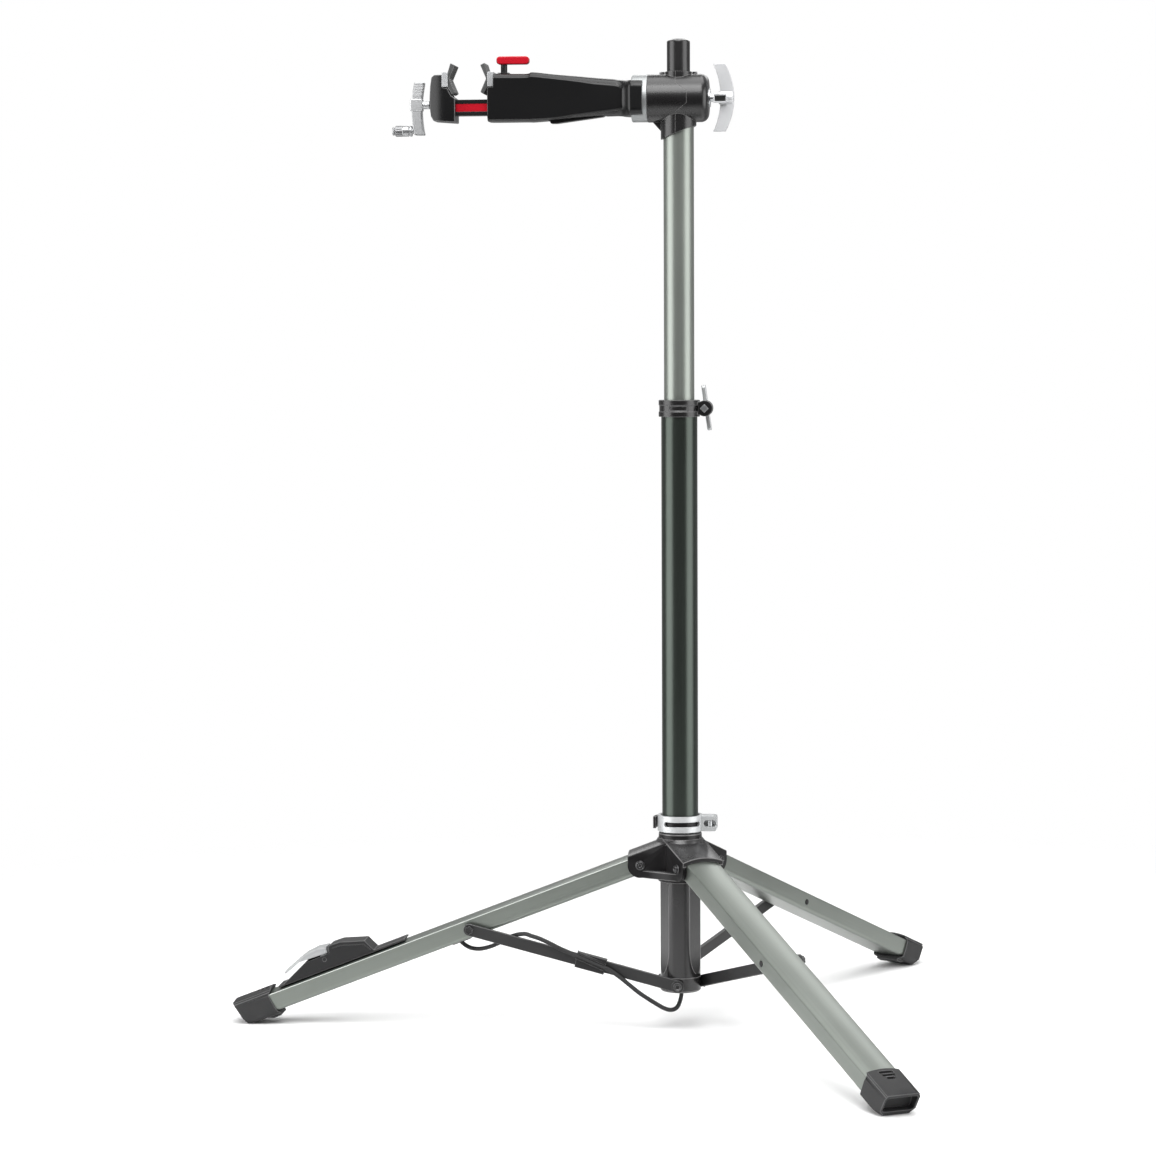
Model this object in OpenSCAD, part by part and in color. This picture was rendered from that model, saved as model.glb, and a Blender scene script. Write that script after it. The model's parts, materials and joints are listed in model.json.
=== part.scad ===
// Free-standing bicycle repair stand: folding tripod, telescopic mast with a
// pedal-released gas spring, and a rotating clamp. Millimetres, +Z up, floor at Z = 0.

/* [Mast] */
// Height of the mast's lower end above the floor
mast_clearance = 53; // [46:1:60]
// Outer diameter of the cast mast foot
mast_foot_d = 56; // [54:1:60]
// Height of the fluted part of the mast foot
mast_foot_l = 133; // [120:1:160]
// Bore through the mast foot
mast_foot_bore = 36; // [34:1:38]
// Height of the spigot inside the lower tube
spigot_l = 70; // [50:1:90]
// Outer diameter of the lower mast tube
lower_tube_d = 50; // [48:0.5:52]
// Wall of the lower mast tube
lower_tube_wall = 2; // [1.5:0.25:2.5]
// Length of the lower mast tube
lower_tube_l = 667; // [620:1:700]
// Outer diameter of the sliding upper tube
upper_tube_d = 42; // [40:0.5:43]
// Wall of the sliding upper tube
upper_tube_wall = 2; // [1.5:0.25:2.5]
// Length of the upper tube inside the lower one at this height
upper_tube_in = 260; // [240:1:262]
// Length of each guide bush on the tubes
bush_l = 54; // [40:1:58]

/* [Strut bracket] */
// Outer diameter of the strut bracket ring
bracket_d = 57; // [57:0.5:60]
// Height of the strut bracket ring
bracket_h = 21; // [18:1:26]
// Height of the strut bolts above the ring's lower edge
bracket_pivot_up = 10.7; // [9:0.1:12]
// Distance of the strut bolts from the mast axis, outward along their leg
bracket_pivot_r = 1.8; // [0:0.1:4]

/* [Leg hub] */
// Distance of the leg pivots from the mast axis
hub_pivot_r = 53.7; // [52:0.1:58]
// Height of the leg pivots above the hub's lower face
hub_pivot_up = 25; // [22:0.5:30]
// Thickness of the hub's ears
ear_t = 5.5; // [4:0.5:7]
// Radius of the ears about the leg pivot
ear_r = 17.5; // [15:0.5:19]
// Thickness of the roof over each leg
roof_t = 5; // [3.5:0.5:7]
// Outer radius of the hub's core
hub_core_r = 31; // [30:0.5:33]
// Height of the hub's shoulder above its lower face
hub_h = 70; // [66:1:74]
// Height of the split neck inside the collar
hub_neck_h = 22.4; // [20:0.2:28]
// Outer diameter of the split neck
hub_neck_d = 55; // [54:0.5:57]
// Wall of the quick-release collar
collar_wall = 4; // [3:0.5:5]

/* [Legs] */
// Slope of the open legs below level
leg_angle = 21.2; // [19:0.1:24]
// Width of a leg
leg_w = 49.4; // [44:0.2:54]
// Height of a leg's flat side
leg_side = 25.4; // [22:0.2:28]
// Rise of the leg's crowned top above its side
leg_crown = 3.5; // [2:0.25:5]
// Radius of the leg's lower corners
leg_corner_r = 5; // [3:0.5:7]
// Wall of a leg
leg_wall = 2; // [1.5:0.25:3]
// Diameter of the leg and strut bolts
bolt_d = 8; // [6:0.5:9]
// Distance from leg pivot to strut pivot along the leg
strut_on_leg = 256.7; // [240:0.5:270]
// Leg slope when the stand is folded
fold_angle = 88; // [84:1:88]

/* [Struts] */
// Width of a strut
strut_w = 16.5; // [14:0.5:19]
// Thickness of a strut
strut_t = 6; // [4:0.5:8]
// Spacer between a leg's side and its strut
strut_spacer = 3.8; // [3.8:0.1:5]
// Place of the cable clip along the front strut
clip_at = 125; // [100:1:150]
// Length of the cable clip
clip_l = 42; // [30:1:50]

/* [Feet] */
// Length of a rubber foot along its leg
foot_l = 48; // [44:1:56]
// Depth of the leg inside its foot
foot_socket = 34; // [28:1:36]
// Thickness of the foot above the leg's side
foot_rise = 9; // [7:0.5:11]
// Thickness of the foot below the leg's side
foot_drop = 4.8; // [4:0.2:7]
// Thickness of the foot beside the leg
foot_side = 2.6; // [2:0.2:4]
// Thickness of the raised plate on the foot
foot_plate = 5; // [3:0.25:6]
// Inset of the raised plate from the foot's sides
foot_step = 4; // [2:0.25:5]
// Depth that the floor flat is cut into the toe
toe_flat = 2; // [1.5:0.25:3]

/* [Foot pedal] */
// Gap between the foot and the pedal unit
pedal_gap = 12.4; // [10:0.2:20]
// Length of the pedal unit's base strip
pedal_strip_l = 193; // [180:1:200]
// Width of the pedal housing
pedal_w = 40; // [34:1:44]
// Height of the pedal housing above the leg's top edge
pedal_h = 34.5; // [32:0.5:38]
// Wall of the pedal housing's cheeks
pedal_wall = 2.5; // [2:0.25:3.5]

/* [Height collar] */
// Height of the clamp collar at the top of the lower tube
height_collar_h = 23; // [20:1:28]
// Wall of the clamp collar
height_collar_wall = 3.5; // [3:0.25:5]
// Diameter of the collar's ears
height_ear_d = 22; // [18:0.5:23]
// Length of the wing nut across its blades
wing_nut_l = 64; // [54:1:70]

/* [Head] */
// Height of the clamp axis above the floor
clamp_height = 1291; // [1240:1:1340]
// Diameter of the head's barrel
barrel_d = 66; // [62:0.5:70]
// Length of the head's barrel on the clamp side of the mast
barrel_left = 41.5; // [36:0.5:46]
// Length of the head's barrel on the handle side of the mast
barrel_right = 42; // [38:0.5:46]
// Diameter of the accessory post on top
post_d = 31.8; // [28.6:0.1:34]
// Height of the accessory post above the barrel
post_h = 47.5; // [40:0.5:60]
// Diameter of the clamp arm's shaft
shaft_d = 25; // [22:0.5:28]
// Length of the wing handle across its tips
wing_l = 92; // [80:1:100]

/* [Clamp arm] */
// Distance from the mast axis to the arm's free end
arm_reach = 259.5; // [250:0.5:270]
// Height of the arm at its free end
arm_h = 65.6; // [62:0.2:70]
// Width of the arm at its free end
arm_w = 51; // [48:0.5:56]
// Diameter of the arm's neck
neck_d = 50; // [44:0.5:54]
// Length of the friction ring
ring_l = 22; // [18:0.5:26]
// Width of the rail
rail_w = 20; // [18:0.5:22]
// Height of the rail
rail_h = 22; // [20:0.5:24]
// Distance of the rail's centre below the clamp axis
rail_down = 10.5; // [9:0.5:12]
// Length of the rail
rail_l = 187; // [180:1:190]
// Length of the red release bar
release_l = 45; // [38:0.5:50]
// Height of the release bar above the arm
release_up = 13; // [11:0.5:16]

/* [Jaws] */
// Clear gap between the tips of the two pads
pad_gap = 35; // [32:0.5:50]
// Height of the pads
pad_h = 43; // [36:0.5:48]
// Depth of the V in each pad
pad_v = 8; // [6:0.5:10]
// Thickness of the pads
pad_t = 7; // [6:0.5:9]
// Width of the pads and of the moving jaw
jaw_w = 42; // [36:0.5:48]
// Length of the moving jaw along the rail
jaw_l = 37; // [36:0.5:42]

/* [Crank] */
// Radius from the screw to the crank's grip
crank_r = 35.5; // [30:0.5:42]
// Diameter of the crank's grip
grip_d = 15; // [12:0.5:18]
// Length of the crank's grip
grip_l = 26; // [22:0.5:34]
// Diameter of the clamp screw
screw_d = 8; // [7:0.5:9]

/* [Fits] */
// Radial clearance of running fits
running_gap = 0.05; // [0.03:0.01:0.08]
// Clearance between parts that pass each other
face_gap = 0.5; // [0.4:0.1:0.7]
// Clearance between pieces that seat on each other
seat_gap = 0.1; // [0.05:0.05:0.2]

/* [Hidden] */
$fn = 64;
far = 400;
black = [0.09, 0.09, 0.1];
dark_green = [0.16, 0.2, 0.18];
sage = [0.52, 0.57, 0.54];
pale_sage = [0.6, 0.64, 0.6];
grey = [0.25, 0.25, 0.26];
silver = [0.78, 0.79, 0.8];
steel = [0.55, 0.56, 0.58];
red = [0.78, 0.05, 0.09];

// Heights on the mast
bracket_top = mast_clearance + bracket_h;
foot_top = bracket_top + mast_foot_l;
tube_top = foot_top + lower_tube_l;
lower_bore = lower_tube_d - 2 * lower_tube_wall;
upper_bore = upper_tube_d - 2 * upper_tube_wall;
upper_top = clamp_height - 23;
upper_bottom = tube_top - upper_tube_in;
hub_z = foot_top + face_gap;
collar_gap = 0.5;

// Legs: u runs outward along a leg from its pivot, v upward across it, t to its left
leg_turns = [180, -60, 60];
hub_pivot_z = hub_z + hub_pivot_up;
leg_top = leg_side / 2 + leg_crown;
leg_end_r = leg_side / 2;
crown_r = (pow(leg_w / 2, 2) + pow(leg_crown, 2)) / (2 * leg_crown);
toe_v = -(leg_side / 2 + foot_drop);
toe_u = (hub_pivot_z + toe_flat + toe_v * cos(leg_angle)) / sin(leg_angle);
heel_u = toe_u - foot_l;
leg_l = heel_u + foot_socket;
foot_top_v = leg_side / 2 + foot_rise;
foot_half = leg_w / 2 + foot_side;
toe_half = leg_w / 2 + 0.5;

// The tripod's box is centred on the origin, so the mast stands to one side of it
toe_reach = hub_pivot_r + (toe_u + 9) * cos(leg_angle) + (foot_top_v - 2) * sin(leg_angle);
mast_x = (toe_reach - toe_reach * cos(60) - (foot_half - foot_step) * sin(60)) / 2;

// Linkage: pivots of hub, strut and bracket in the plane of one leg
strut_pivot_r = hub_pivot_r + strut_on_leg * cos(leg_angle);
strut_pivot_z = hub_pivot_z - strut_on_leg * sin(leg_angle);
bracket_pivot_z = mast_clearance + bracket_pivot_up;
strut_l = norm([strut_pivot_r - bracket_pivot_r, strut_pivot_z - bracket_pivot_z]);
strut_angle = asin((strut_pivot_z - bracket_pivot_z) / strut_l);
strut_in = leg_w / 2 + strut_spacer;
strut_out = strut_in + strut_t;
bracket_flat = strut_in - face_gap;
folded_strut = acos((hub_pivot_r + strut_on_leg * cos(fold_angle) - bracket_pivot_r) / strut_l);
hub_travel = strut_on_leg * sin(fold_angle) + strut_l * sin(folded_strut) - hub_pivot_z + bracket_pivot_z;
echo(leg_pivot = [-hub_pivot_r, hub_pivot_z], strut_pivot = [-strut_pivot_r, strut_pivot_z]);
echo(mast_x = mast_x, hub_travel = hub_travel, leg_turn = fold_angle - leg_angle);
echo(strut_turn = folded_strut - strut_angle + fold_angle - leg_angle, strut_l = strut_l);

// Collar and hub radii
collar_out = hub_neck_d / 2 + collar_wall;
hub_top = hub_z + hub_h;
fork_top = hub_z + hub_h - 7;
collar_z = hub_top + collar_gap;
collar_mid = collar_z + hub_neck_h / 2;
lever_in = collar_out + 2;
lever_h = hub_neck_h - 6;
lever_pivot = [42, 20];
lever_t = 4.5;

// Height collar at the slit end of the lower tube
height_z = tube_top - height_collar_h + 3;
height_out = lower_tube_d / 2 + height_collar_wall;
height_ear = [height_out + 7, height_z + height_collar_h / 2];
height_bolt_d = 6;
wing_y = height_out + 1.5;

// Gas spring inside the mast
gas_d = 28;
gas_bore = 22;
gas_rod_d = 10;
gas_bottom = upper_bottom + 20;
gas_l = upper_top - gas_bottom - 83;
rod_top = gas_bottom + gas_l / 3;
valve_z = mast_clearance + 12;
valve_h = 60;
valve_top = valve_z + valve_h;
lever_axis = [-9, valve_z + 28];

// Head
bush_d = shaft_d + 8;
socket_d = upper_tube_d + 7;
post_seat = clamp_height + 21;
post_foot = clamp_height + barrel_d / 2 + 3 + seat_gap;
barrel_top = clamp_height + barrel_d / 2;
seam_x = -3;
head_bolt_x = post_d / 2 + 6.5;
stud_d = 11.5;
wing_x = barrel_right + 3.5;
wing_t = 9;

// Clamp arm: x runs from the free end at -arm_reach towards the mast
ring_out = -barrel_left - seat_gap * 3;
ring_in = ring_out - ring_l;
cheek_half = barrel_d / 2 + 1.6;
arm_mid = clamp_height + 2.5;
arm_top = arm_mid + arm_h / 2;
arm_bottom = arm_mid - arm_h / 2;
rail_z = clamp_height - rail_down;
screw_z = rail_z + 4.5;
shaft_start = -92;
release_x = -arm_reach + 18.5;
stem_d = 9;
release_z = arm_top + release_up;
plate_x = release_x + 9;
plate_t = 4;
panel_t = 1.6;
pad_mid = clamp_height + 28.5;
bracket_t = 8;
web_t = 3;
notch_x = -arm_reach + 6;
pad_back = pad_v + pad_t;
pad_shoulder = pad_back - bracket_t + web_t - seat_gap;
fixed_tip = notch_x - web_t - 2 * seat_gap - pad_back;
moving_tip = fixed_tip - pad_gap;
jaw_seat = moving_tip - pad_back - web_t - 2 * seat_gap;
jaw_right = jaw_seat + 18;
jaw_left = jaw_right - jaw_l;
rail_start = jaw_left + 22.5;
rail_room = rail_start + rail_l + 40;
crank_x = jaw_left - 13;

// Pedal on the first leg
pedal_out = heel_u - pedal_gap;
pedal_base_v = leg_top + 0.3;
pedal_floor = pedal_base_v + 2.7;
pedal_roof = leg_side / 2 + pedal_h;
pedal_pivot = [pedal_out - 76, pedal_floor + 12];
pedal_pin_d = 5;
pedal_in = pedal_w - 2 * pedal_wall;

// Cable from the leg's underside, over the front strut, to the valve at the mast's foot
cable_d = 6;
cable_sides = 8;
cable_route = [
    [-312, 0, 122], [-305, 0, 114], [-294, -3, 109], [-280, -8, 109], [-264, -14, 114], [-250, -18, 121],
    [-238, -21, 128], [-228, -24, 132], [-221, -29, 134], [-213, -34, 135], [-205, -38, 133],
    [-194, -40, 130], [-180, -41, 124], [-166, -41, 117], [-152, -41, 111], [-138, -40.5, 105],
    [-124, -40.5, 99], [-110, -40.5, 93], [-96, -40.5, 87], [-82, -39, 77], [-68, -36, 65],
    [-54, -32, 53], [-40, -28, 43], [-30, -24, 36], [-22, -21, 31], [-15, -17, 28], [-9, -14, 28],
    [-4, -11, 31], [-1, -8, 37], [1, -6, 45], [2, -4, 54], [3, -1, 62], [3, 0, 70], [3, 0, 78]
];

// Places and simple shapes

module on_mast() translate([mast_x, 0, 0]) children();

module leg_frame(i) on_mast() rotate([0, 0, leg_turns[i]]) children();

module on_leg(i) leg_frame(i) translate([hub_pivot_r, 0, hub_pivot_z]) rotate([0, leg_angle, 0]) children();

module on_strut(i) leg_frame(i) translate([bracket_pivot_r, 0, bracket_pivot_z])
    rotate([0, -strut_angle, 0]) children();

module on_arm() on_mast() translate([0, 0, clamp_height]) children();

// A cylinder along X from x0 to x1
module bar_x(d, x0, x1) translate([x0, 0, 0]) rotate([0, 90, 0]) cylinder(d = d, h = x1 - x0);

// A cylinder along Y from y0 to y1
module bar_y(d, y0, y1) translate([0, y0, 0]) rotate([-90, 0, 0]) cylinder(d = d, h = y1 - y0);

// An XZ outline made w thick about Y = 0
module slab(w) rotate([90, 0, 0]) linear_extrude(height = w, center = true) children();

// A YZ outline run along X from x0 to x1
module run_x(x0, x1) translate([x0, 0, 0]) rotate([90, 0, 90]) linear_extrude(height = x1 - x0) children();

// A rectangle centred on the origin with round corners
module rounded(w, h, r) {
    square([w - 2 * r, h], center = true);
    square([w, h - 2 * r], center = true);
    for (x = [-1, 1], y = [-1, 1]) translate([x * (w / 2 - r), y * (h / 2 - r)]) circle(r);
}

// A straight slot with round ends
module slot(l, w) {
    square([l - w, w], center = true);
    for (x = [-1, 1]) translate([x * (l - w) / 2, 0]) circle(d = w);
}

// A tube between two heights
module tube(d, bore, z0, z1) translate([0, 0, z0]) difference() {
    cylinder(d = d, h = z1 - z0);
    translate([0, 0, -1]) cylinder(d = bore, h = z1 - z0 + 2);
}

// Mast

module lower_tube() color(dark_green) on_mast() difference() {
    tube(lower_tube_d, lower_bore, foot_top, tube_top);
    translate([0, -1.5, tube_top - 24]) cube([lower_tube_d, 3, 25]);
    translate([0, 0, tube_top - 24]) bar_x(6, 0, lower_tube_d);
}

module mast_foot() color(grey) on_mast() difference() {
    union() {
        translate([0, 0, bracket_top]) cylinder(d = mast_foot_d, h = mast_foot_l);
        translate([0, 0, mast_clearance + 3]) cylinder(d = mast_foot_bore + 12, h = bracket_h);
        translate([0, 0, foot_top - 1]) cylinder(d = lower_bore - 2 * seat_gap, h = spigot_l + 1);
    }
    cylinder(d = mast_foot_bore, h = foot_top + spigot_l + 1);
    for (turn = [90, 210, 330]) rotate([0, 0, turn]) mast_flat();
}

// Flat on the mast foot that runs out in a long curve near the bottom
module mast_flat() {
    flat_r = mast_foot_d / 2 - 3.4;
    runout_r = 180;
    runout_z = bracket_top + 39;
    translate([flat_r, -far / 2, runout_z]) cube([far, far, foot_top - runout_z]);
    translate([flat_r + runout_r, 0, runout_z]) intersection() {
        rotate([90, 0, 0]) cylinder(r = runout_r, h = far, center = true, $fn = 180);
        translate([-far, -far / 2, -far]) cube([far, far, far]);
    }
}

module strut_bracket() color(grey) on_mast() difference() {
    union() {
        translate([0, 0, mast_clearance + 2]) cylinder(d = bracket_d, h = bracket_h - 2);
        translate([0, 0, mast_clearance]) cylinder(d1 = bracket_d - 4, d2 = bracket_d, h = 2);
    }
    translate([0, 0, mast_clearance - 1]) cylinder(d = mast_foot_bore + 4, h = 5);
    translate([0, 0, mast_clearance + 3]) cylinder(d = mast_foot_bore + 12 + 2 * seat_gap, h = bracket_h);
    for (turn = leg_turns) rotate([0, 0, turn])
        translate([-far / 2, bracket_flat, 0]) cube([far, far, far]);
}

module tube_bush() color(black) on_mast() {
    tube(lower_bore - 2 * seat_gap, upper_tube_d + 2 * running_gap, tube_top - bush_l, tube_top);
    tube(lower_tube_d - 1, upper_tube_d + 2 * running_gap, tube_top + seat_gap, tube_top + 2);
}

module height_collar() color(black) on_mast() difference() {
    union() {
        translate([0, 0, height_z]) cylinder(r = height_out, h = height_collar_h);
        translate([height_ear[0], 0, height_ear[1]]) bar_y(height_ear_d, -12, 12);
        translate([height_out - 8, -12, height_ear[1] - 9]) cube([15, 24, 18]);
    }
    translate([0, 0, height_z - 1]) cylinder(d = lower_tube_d + 2 * seat_gap, h = height_collar_h + 2);
    translate([0, -1.5, height_z - 1]) cube([far, 3, height_collar_h + 2]);
    translate([height_ear[0], 0, height_ear[1]]) bar_y(height_bolt_d + 2 * seat_gap, -far, far);
    translate([0, 0, height_z + height_collar_h / 2 - 4.5]) rotate_extrude()
        translate([height_out - 0.9, 0]) square([1.4, 9]);
    rotate([0, 0, 245]) translate([0, 0, height_z + height_collar_h / 2 - 3])
        rotate_extrude(angle = 52) translate([height_out - 2, 0]) square([5, 6]);
}

module collar_bolt() color(silver) on_mast() translate([height_ear[0], 0, height_ear[1]]) {
    bar_y(height_bolt_d, -14, wing_y + 16);
    translate([0, -15, 0]) rotate([90, 45, 0])
        linear_extrude(height = 4, center = true) square(8.5, center = true);
}

module collar_wing_nut() color(silver) on_mast() translate([height_ear[0], 0, height_ear[1]]) difference() {
    union() {
        bar_y(13, 12 + face_gap, wing_y + 11);
        rotate([0, -8, 0]) run_x(-3, 3) translate([wing_y + 7, 0]) rotate(90) slot(wing_nut_l, 10);
    }
    bar_y(height_bolt_d + 2 * running_gap, 0, far);
}

module gas_rod() color(steel) on_mast() {
    translate([0, 0, valve_top - 14]) cylinder(d = gas_rod_d, h = rod_top - valve_top + 14);
    translate([0, 0, rod_top - 14]) cylinder(d = gas_bore - 2 * face_gap, h = 14);
}

module valve_block() color(grey) on_mast() difference() {
    translate([0, 0, valve_z]) cylinder(d = mast_foot_bore - 2 * seat_gap, h = valve_h);
    translate([0, 0, valve_top - 14 - seat_gap]) cylinder(d = gas_rod_d + 2 * seat_gap, h = 20);
    translate([-15, -5.5, valve_z - 1]) cube([30, 11, 37]);
    translate([lever_axis[0], 0, lever_axis[1]]) bar_y(4 + 2 * running_gap, -10, 10);
}

module valve_lever() color(steel) on_mast() translate([lever_axis[0], 0, lever_axis[1]]) {
    bar_y(4, -9.5, 9.5);
    slab(9) union() {
        circle(4);
        translate([0, -3]) square([20, 6]);
    }
}

// Leg hub

module leg_hub() color(black) on_mast() difference() {
    union() {
        difference() {
            union() {
                for (turn = leg_turns) rotate([0, 0, turn]) fork_outside();
                translate([0, 0, hub_pivot_z - ear_r]) linear_extrude(height = 10) hub_floor();
            }
            for (turn = leg_turns) rotate([0, 0, turn]) fork_slot();
        }
        translate([0, 0, hub_z]) cylinder(r = hub_core_r, h = fork_top - hub_z - 4);
        translate([0, 0, fork_top - 10]) cylinder(r1 = hub_core_r + 5, r2 = hub_core_r, h = 8);
        translate([0, 0, fork_top - 5]) cylinder(r = hub_core_r - 1, h = 9);
        translate([0, 0, fork_top + 4])
            cylinder(r1 = hub_core_r - 1, r2 = hub_core_r - 3, h = hub_top - fork_top - 4);
        translate([0, 0, hub_top - 1]) cylinder(d = hub_neck_d - 2 * seat_gap, h = hub_neck_h + 1);
    }
    translate([0, 0, hub_z - 1]) cylinder(d = lower_tube_d + 2 * running_gap, h = far);
    translate([0, -1.5, hub_top - 2]) cube([far, 3, far]);
    for (turn = leg_turns) rotate([0, 0, turn]) translate([hub_pivot_r, 0, hub_pivot_z])
        bar_y(bolt_d + 2 * seat_gap, -far, far);
}

// Side outline of one fork: roof above the leg, ears beside it
module fork_outside() intersection() {
    slab(leg_w + 2 * face_gap + 2 * ear_t) union() {
        polygon([
            [0, fork_top], [hub_core_r - 2, fork_top], [hub_pivot_r + 18.4, hub_pivot_z + 19.9],
            [hub_pivot_r + 17.6, hub_pivot_z + 5], [hub_pivot_r, hub_pivot_z - ear_r],
            [0, hub_pivot_z - ear_r]
        ]);
        translate([hub_pivot_r, hub_pivot_z]) circle(ear_r);
    }
    translate([hub_pivot_r, 0, hub_pivot_z]) rotate([0, leg_angle, 0]) run_x(-90, 60)
        crowned(leg_w + 2 * face_gap + 2 * ear_t, leg_top + face_gap + roof_t, 120);
    translate([0, 0, fork_top - 60])
        cylinder(r1 = hub_core_r - 2 + 60 / tan(23), r2 = hub_core_r - 2, h = 60, $fn = 128);
}

// Room for a leg under its roof, open below
module fork_slot() translate([hub_pivot_r, 0, hub_pivot_z]) rotate([0, leg_angle, 0])
    run_x(-leg_end_r - 2, 90) crowned(leg_w + 2 * face_gap, leg_top + face_gap, 120);

// A wide outline with a crowned top at height v, and depth below it
module crowned(w, v, depth) intersection() {
    translate([-w / 2, v - depth]) square([w, depth]);
    translate([0, v - crown_r]) circle(crown_r, $fn = 180);
}

// Web between the ears
module hub_floor() intersection() {
    circle(r = 62);
    rotate([0, 0, 180]) circle(r = 104, $fn = 3);
}

module hub_bolts() color(steel) for (i = [0:2]) leg_frame(i) translate([hub_pivot_r, 0, hub_pivot_z])
    bolt(leg_w / 2 + face_gap + ear_t);

// Bolt through both ears, with a washer and a socket head at each end
module bolt(half) difference() {
    union() {
        bar_y(bolt_d, -half - 1, half + 1);
        for (s = [-1, 1]) mirror([0, s < 0 ? 1 : 0, 0]) {
            bar_y(bolt_d * 1.65, half + seat_gap, half + 1.5);
            bar_y(bolt_d * 1.3, half + 1, half + 4.5);
        }
    }
    for (s = [-1, 1]) mirror([0, s < 0 ? 1 : 0, 0]) translate([0, half + 2.5, 0])
        rotate([-90, 0, 0]) cylinder(d = bolt_d * 0.65, h = 5, $fn = 6);
}

module hub_collar() color(silver) on_mast() difference() {
    union() {
        translate([0, 0, collar_z]) cylinder(r = collar_out, h = hub_neck_h);
        translate([collar_out - 6 + 13, 0, collar_mid]) slab(22) rounded(26, hub_neck_h - 1, 4);
    }
    translate([0, 0, collar_z - 1]) cylinder(d = hub_neck_d, h = hub_neck_h + 2);
    translate([0, -1.5, collar_z - 1]) cube([far, 3, far]);
    rotate([0, 0, -125]) translate([0, 0, collar_mid - 3.5])
        rotate_extrude(angle = 92) translate([hub_neck_d / 2 - 5, 0.3]) square([20, 6.4]);
    for (a = [-125, -33]) rotate([0, 0, a]) translate([0, 0, collar_mid]) bar_x(7, hub_neck_d / 2 - 5, far);
    translate([lever_pivot[0], 0, collar_mid]) {
        bar_y(6 + 2 * seat_gap, -far, far);
        translate([0, -1, 0]) rotate([90, 0, 0]) linear_extrude(height = 12) slot(17, 9);
    }
}

// Bolt through the collar's ears: a nut barrel in front, the lever's pin behind
module collar_barrel() color(steel) on_mast() translate([lever_pivot[0], 0, collar_mid]) {
    bar_y(6, -8, lever_pivot[1]);
    translate([0, -7.5, -4.2]) cylinder(d = 7, h = 8.4);
    translate([0, lever_pivot[1], -hub_neck_h / 2 + 4]) cylinder(d = 6, h = hub_neck_h - 8);
}

module hub_lever() color(grey) on_mast() translate([0, 0, collar_z + 3]) difference() {
    union() {
        translate(lever_pivot) cylinder(d = 17, h = lever_h);
        rotate([0, 0, 22]) rotate_extrude(angle = 166) translate([lever_in, 0]) square([lever_t, lever_h]);
        translate([lever_pivot[0] - 8, lever_pivot[1] - 3, 0]) cube([8, 9, lever_h]);
    }
    translate(lever_pivot) translate([0, 0, -1]) cylinder(d = 6 + 2 * running_gap, h = lever_h + 2);
    translate([lever_pivot[0] - 3.5, 0, lever_h / 2 - 3.5]) cube([far, far, 7]);
}

// Legs, feet and struts

module leg_outline() intersection() {
    union() {
        translate([-leg_w / 2, -leg_side / 2 + leg_corner_r]) square([leg_w, far]);
        translate([-leg_w / 2 + leg_corner_r, -leg_side / 2]) square([leg_w - 2 * leg_corner_r, leg_side]);
        for (s = [-1, 1]) translate([s * (leg_w / 2 - leg_corner_r), -leg_side / 2 + leg_corner_r])
            circle(leg_corner_r);
    }
    translate([0, leg_top - crown_r]) circle(crown_r, $fn = 180);
}

module leg_hollow() intersection() {
    translate([-leg_w / 2 + leg_wall, -leg_side / 2 + leg_wall]) square([leg_w - 2 * leg_wall, far]);
    translate([0, leg_top - crown_r]) circle(crown_r - leg_wall, $fn = 180);
}

module leg(i) color(sage) on_leg(i) difference() {
    intersection() {
        run_x(-leg_end_r, leg_l) leg_outline();
        union() {
            bar_y(2 * leg_end_r, -leg_w, leg_w);
            translate([0, -leg_w, -far / 2]) cube([far * 2, leg_w * 2, far]);
        }
    }
    run_x(-far, far * 2) leg_hollow();
    bar_y(bolt_d + 2 * running_gap, -far, far);
    translate([strut_on_leg, 0, 0]) bar_y(bolt_d + 2 * seat_gap, -far, far);
}

// Openings for the pedal link above and the cable below
module leg_1() difference() {
    leg(0);
    on_leg(0) {
        translate([pedal_pivot[0] - 60, 0, 0]) linear_extrude(height = far) slot(50, 12);
        translate([strut_on_leg + 21, 0, -far]) linear_extrude(height = far) slot(24, 9);
    }
}

module leg_2() leg(1);

module leg_3() leg(2);

// Rubber foot: a socket round the leg's end, a hollow toe, a tongue below the heel, a flat at the floor
module foot(i) color(black) difference() {
    on_leg(i) difference() {
        intersection() {
            slab(far) polygon([
                [heel_u, -leg_side / 2 - 0.5], [heel_u - 2, toe_v + 2.5], [heel_u - 2, toe_v - 3.5],
                [heel_u + 10, toe_v - 4], [heel_u + 19, toe_v], [toe_u, toe_v],
                [toe_u + 9, foot_top_v - 2.5], [toe_u + 6.5, foot_top_v],
                [heel_u - 1, foot_top_v], [heel_u - 1, foot_top_v - 4], [heel_u + 4, leg_side / 2]
            ]);
            linear_extrude(height = far * 2, center = true) polygon([
                [heel_u - 12, -foot_half], [heel_u + 20, -foot_half], [toe_u + 10, -toe_half],
                [toe_u + 10, toe_half], [heel_u + 20, foot_half], [heel_u - 12, foot_half]
            ]);
            run_x(heel_u - 12, toe_u + 12) foot_front();
        }
        translate([0, 0, -seat_gap]) run_x(heel_u - 30, leg_l + seat_gap) foot_bore();
        run_x(toe_u - 7, toe_u + 20) translate([0, 0.5]) rounded(2 * toe_half - 10, leg_side - 7, 4);
        for (n = [0:2]) translate([heel_u + 8 + 6 * n, 0, foot_top_v - 2]) linear_extrude(height = far)
            rotate(90) slot(16 - 3 * n, 3);
    }
    translate([-far * 2, -far * 2, -far]) cube([far * 4, far * 4, far]);
}

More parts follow.
